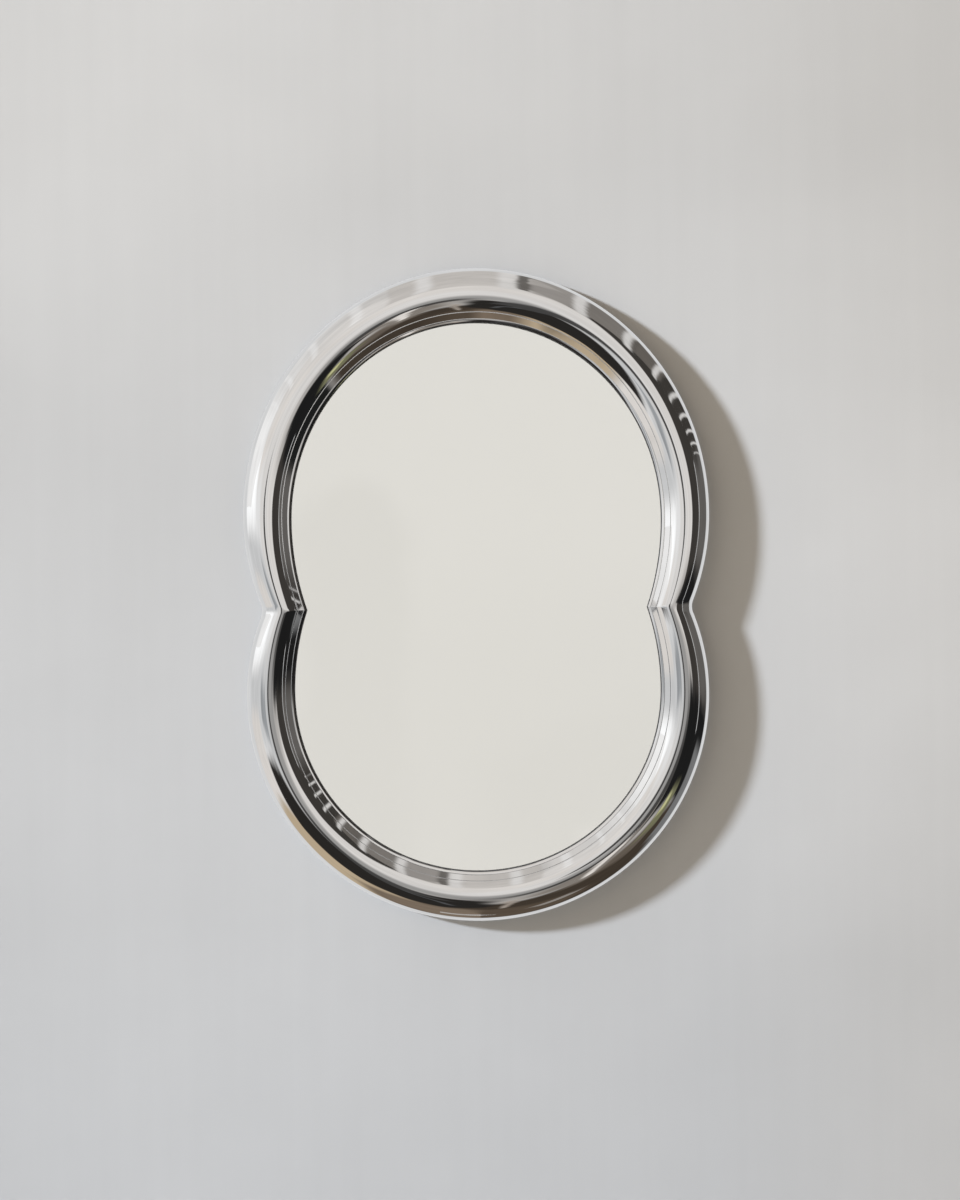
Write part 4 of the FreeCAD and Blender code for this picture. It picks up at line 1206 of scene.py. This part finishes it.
def make_surroundings():
    """A dome that only the polished metal sees: pale walls, a beamed ceiling and a dark room.

    Each card is given by its corners, its tone and the softness of its edges, and covers what was
    painted before it.
    """
    s = Surroundings("room_around", grey(172, 4), 1.16)
    # the pale side of the room, brightest low down where the daylight comes in
    s.card([(-200, -40), (-14, -24), (-14, 34), (-200, 75)], grey(222, 1), 17)
    s.card([(-60, 12), (30, 12), (14, 46), (-60, 62)], grey(207, 5), 6)
    s.card([(-200, 2), (-52, 4), (-58, 30), (-200, 34)], grey(254), 5)
    s.card([(-200, -22), (-10, -14), (-10, 1), (-200, 0)], grey(196, 0), 3.5)
    s.card([(-46, -11), (-22, -12), (-22, -5), (-46, -3)], grey(150, -2), 2)
    # the lit patch straight ahead
    s.card([(-30, -2), (8, 0), (2, 18), (-30, 18)], grey(208, 3), 5)
    s.card([(5, 1), (31, 0), (28, 18), (14, 34), (4, 24)], grey(208, 4), 3)
    s.card([(-12, -16), (15, -12), (14, -2), (-12, 0)], grey(148, 2), 4)
    # the dark side of the room
    s.card([(34, -10), (200, -14), (200, 70), (8, 70), (18, 38)], grey(54, 3), 2.5)
    s.card([(62, -8), (200, -8), (200, 28), (66, 14)], grey(90, 3), 5)
    # floor and furniture
    s.card([(-200, -36), (-60, -33), (-60, -10), (-200, -10)], grey(208, 5), 3)
    s.card([(-200, -100), (200, -100), (200, -27), (20, -33), (-30, -42), (-200, -60)],
           grey(54, 8), 5)
    s.card([(-200, -68), (-26, -66), (-56, -34), (-200, -34)], (0.46, 0.365, 0.25), 4)
    s.card([(-200, -100), (200, -100), (200, -66), (-200, -62)], grey(74, 11), 5)
    s.card([(-200, -100), (-2, -100), (-2, -62), (-200, -66)], grey(106, 14), 8)
    s.card([(50, -76), (78, -76), (78, -64), (54, -65)], grey(134, 6), 2)
    s.card([(18, -44), (54, -46), (54, -26), (14, -30)], grey(88, 9), 4)
    s.card([(-63, -38), (-50, -55), (-14, -62), (3, -50), (1, -18), (-22, -14), (-58, -20)],
           grey(38, 2), 2.5)
    s.card([(-12, -20), (-8, -48), (-6.5, -48), (-10.5, -20)], grey(84, -1), 1)
    s.card([(2, -10), (5, -32), (28, -44), (15, -13)], grey(120, 7), 3)
    s.card([(0, -17), (34, -15), (34, -5), (8, -7), (0, -10)], grey(46, 1), 2.2,
           amount=0.9)
    # a narrow dark upright just left of straight ahead
    s.card([(-11.5, -30), (-4, -30), (-4, 4), (-6, 7), (-9.5, 7), (-11.5, 4)], grey(66, 1), 1.2)
    s.card([(5, -14), (19, -37), (21, -36), (8, -13)], grey(216, 6), 0.9)
    s.card([(3, -30), (8, -62), (10, -62), (5, -30)], grey(146, 10), 1.2)
    s.card([(17, -22), (45, -28), (100, -40), (200, -48), (200, -15), (17, -5)], grey(28, 0), 2.5)
    s.card([(34, -36), (60, -38), (62, -28), (38, -24)], (0.165, 0.162, 0.092), 2.5)
    s.card([(38, -29), (49, -32), (50, -28), (39, -26)], (0.50, 0.49, 0.26), 1.2)
    s.card([(82, -46), (200, -46), (200, -22), (80, -20)], grey(112, 0), 3)
    s.card([(66, -15), (68.6, -15), (68.6, 16), (66, 16)], grey(196, 1), 0.9)
    # the ceiling: panels that darken to the right, and pale beams that run away from the wall
    for left, right, far_left, far_right, tone, soft, amount, bars in (
            (-8, -0.38, 1.7, 1.7, grey(206, 3), 0.02, 0.5, None),
            (-0.38, 0.18, 1.35, 1.25, grey(184, 5), 0.02, 0.85, None),
            (0.23, 0.52, 1.3, 1.15, grey(152, 5), 0.04, 0.8, None),
            (0.52, 0.92, 1.1, 1.0, grey(112, 5), 0.04, 1.0, None),
            (0.92, 1.3, 0.95, 0.75, grey(92, 5), 0.04, 1.0, None),
            (0.18, 0.235, 1.15, 1.15, grey(98, 4), 0.012, 1.0, None),
            (0.0, 3.0, 1.5, 0.6, grey(206, 3), 0.1, 0.9, (0.14, 0.355, 0.075)),
            (-3.0, -0.1, 1.1, 1.3, grey(234, 1), 0.1, 0.45, (-0.215, 0.355, 0.07))):
        s.card([(left, -4), (right, -4), (right, far_right), (left, far_left)], tone, soft,
               amount, on=s.ceiling, bars=bars)
    # the lit wall behind the mirror, which the upright rim reflects
    s.card([(-2, -2), (2, -2), (2, -0.5), (-2, -0.22)], grey(207, 0), 0.04, on=s.level)
    rows, columns = 40, 80
    polar = np.linspace(0.001, math.pi - 0.001, rows)[:, None]
    around = np.linspace(0, 2 * math.pi, columns, endpoint=False)[None, :]
    grid = chosen("stage").room_reach * np.stack(
        [np.sin(polar) * np.cos(around), np.sin(polar) * np.sin(around),
         np.cos(polar) + 0 * around], 2)
    dome = Shells().add(grid, caps=(True, True)).build("room_dome", [s.finish()],
                                                       smooth_angle=math.radians(80))
    dome.visible_camera = dome.visible_diffuse = dome.visible_shadow = False
    dome.visible_transmission = dome.visible_volume_scatter = False


def make_world():
    """Soft light from all round; the camera and glass see a plain pale backdrop instead."""
    stage = chosen("stage")
    world = bpy.data.worlds.new("pale_room")
    bpy.context.scene.world = world
    world.use_nodes = True
    tree = world.node_tree
    fill = tree.nodes["Background"]
    fill.inputs["Color"].default_value = (*stage.fill, 1)
    pale = tree.nodes.new("ShaderNodeBackground")
    pale.inputs["Color"].default_value = (*stage.pale, 1)
    path = tree.nodes.new("ShaderNodeLightPath")
    seen = path.outputs["Is Camera Ray"]
    for kind in ("Is Glossy Ray", "Is Transmission Ray"):
        either = tree.nodes.new("ShaderNodeMath")
        either.operation = "MAXIMUM"
        tree.links.new(seen, either.inputs[0])
        tree.links.new(path.outputs[kind], either.inputs[1])
        seen = either.outputs[0]
    mix = tree.nodes.new("ShaderNodeMixShader")
    tree.links.new(seen, mix.inputs[0])
    tree.links.new(fill.outputs[0], mix.inputs[1])
    tree.links.new(pale.outputs[0], mix.inputs[2])
    tree.links.new(mix.outputs[0], tree.nodes["World Output"].inputs["Surface"])


def area_lamp(name, place, width, power, tint):
    light = bpy.data.lights.new(name, "AREA")
    light.shape, light.size, light.energy, light.color = "DISK", width, power, tint
    lamp = bpy.data.objects.new(name, light)
    lamp.location = place
    lamp.rotation_euler = (-Vector(place)).to_track_quat("-Z", "Y").to_euler()
    lamp.visible_glossy = False
    bpy.context.scene.collection.objects.link(lamp)


def make_lamps():
    """A raking key and a wide glow from the upper left, and a soft lamp for the back."""
    stage = chosen("stage")
    toward = np.array([-2.45, -1.0, 0.85])
    toward = toward / np.linalg.norm(toward) * stage.key_distance
    area_lamp("key_lamp", toward.tolist(), width=stage.key_width, power=stage.key_power,
              tint=(0.90, 0.95, 1.0))
    area_lamp("glow_lamp", (-3.6, -2.7, 2.0), width=4.5, power=stage.glow_power,
              tint=(1.0, 0.90, 0.76))
    area_lamp("back_lamp", (-1.4, 2.6, 1.6), width=1.6, power=stage.back_power,
              tint=(1.0, 0.98, 0.95))


def make_camera():
    stage = chosen("stage")
    data = bpy.data.cameras.new("camera")
    data.lens, data.sensor_width, data.sensor_fit = stage.lens, 36.0, "AUTO"
    camera = bpy.data.objects.new("camera", data)
    camera.location = (stage.aside, -stage.distance, -stage.below)
    camera.rotation_euler = (math.pi / 2, stage.roll, 0.0)
    bpy.context.scene.collection.objects.link(camera)
    bpy.context.scene.camera = camera


# ------------------------------------------------------------------ operators and panel


class MIRROR_OT_frame(bpy.types.Operator):
    """Build the polished frame with its hollow back"""

    bl_idname = "mirror.frame"
    bl_label = "Frame"

    def execute(self, context):
        make_frame()
        return {"FINISHED"}


class MIRROR_OT_glass(bpy.types.Operator):
    """Build the silvered glass, its tape and its two rest pads"""

    bl_idname = "mirror.glass"
    bl_label = "Glass, tape and pads"

    def execute(self, context):
        make_glass()
        make_tape()
        make_pads()
        return {"FINISHED"}


class MIRROR_OT_board(bpy.types.Operator):
    """Build the foam sheet and the fibre board"""

    bl_idname = "mirror.board"
    bl_label = "Foam and board"

    def execute(self, context):
        make_board()
        return {"FINISHED"}


class MIRROR_OT_screws(bpy.types.Operator):
    """Build the board screws and the hanger screws"""

    bl_idname = "mirror.screws"
    bl_label = "Screws"

    def execute(self, context):
        make_screws()
        return {"FINISHED"}


class MIRROR_OT_hangers(bpy.types.Operator):
    """Build the straps, the D rings and the wall bumpers"""

    bl_idname = "mirror.hangers"
    bl_label = "Hangers and bumpers"

    def execute(self, context):
        make_straps()
        make_rings()
        make_bumpers()
        return {"FINISHED"}


class MIRROR_OT_stage(bpy.types.Operator):
    """Set up the wall, floor, light and camera"""

    bl_idname = "mirror.stage"
    bl_label = "Stage"

    def execute(self, context):
        context.scene.view_settings.view_transform = "Standard"
        make_wall()
        make_floor()
        make_surroundings()
        make_world()
        make_lamps()
        make_camera()
        return {"FINISHED"}


class MIRROR_PT_panel(bpy.types.Panel):
    """Lists the mirror's pieces and their sizes and colours"""

    bl_idname = "MIRROR_PT_panel"
    bl_label = "Two-lobed wall mirror"
    bl_space_type = "VIEW_3D"
    bl_region_type = "UI"
    bl_category = "Mirror"

    def draw(self, context):
        for operator in OPERATORS:
            self.layout.operator(operator.bl_idname)
        for name in SETTINGS:
            box = self.layout.box()
            group = getattr(context.scene, name)
            for key in group.__annotations__:
                box.prop(group, key)


OPERATORS = (MIRROR_OT_frame, MIRROR_OT_glass, MIRROR_OT_board, MIRROR_OT_screws,
             MIRROR_OT_hangers, MIRROR_OT_stage)
SETTINGS = {
    "mirror_outline": MirrorOutline,
    "mirror_section": MirrorSection,
    "mirror_fittings": MirrorFittings,
    "mirror_finish": MirrorFinish,
    "mirror_stage": MirrorStage,
}
CLASSES = (*SETTINGS.values(), *OPERATORS, MIRROR_PT_panel)


def register():
    for item in CLASSES:
        bpy.utils.register_class(item)
    for name, group in SETTINGS.items():
        setattr(bpy.types.Scene, name, PointerProperty(type=group))


def unregister():
    for name in SETTINGS:
        delattr(bpy.types.Scene, name)
    for item in reversed(CLASSES):
        bpy.utils.unregister_class(item)


def main():
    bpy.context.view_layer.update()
    register()
    for operator in OPERATORS:
        group, name = operator.bl_idname.split(".")
        getattr(getattr(bpy.ops, group), name)()


if __name__ == "__main__":
    main()
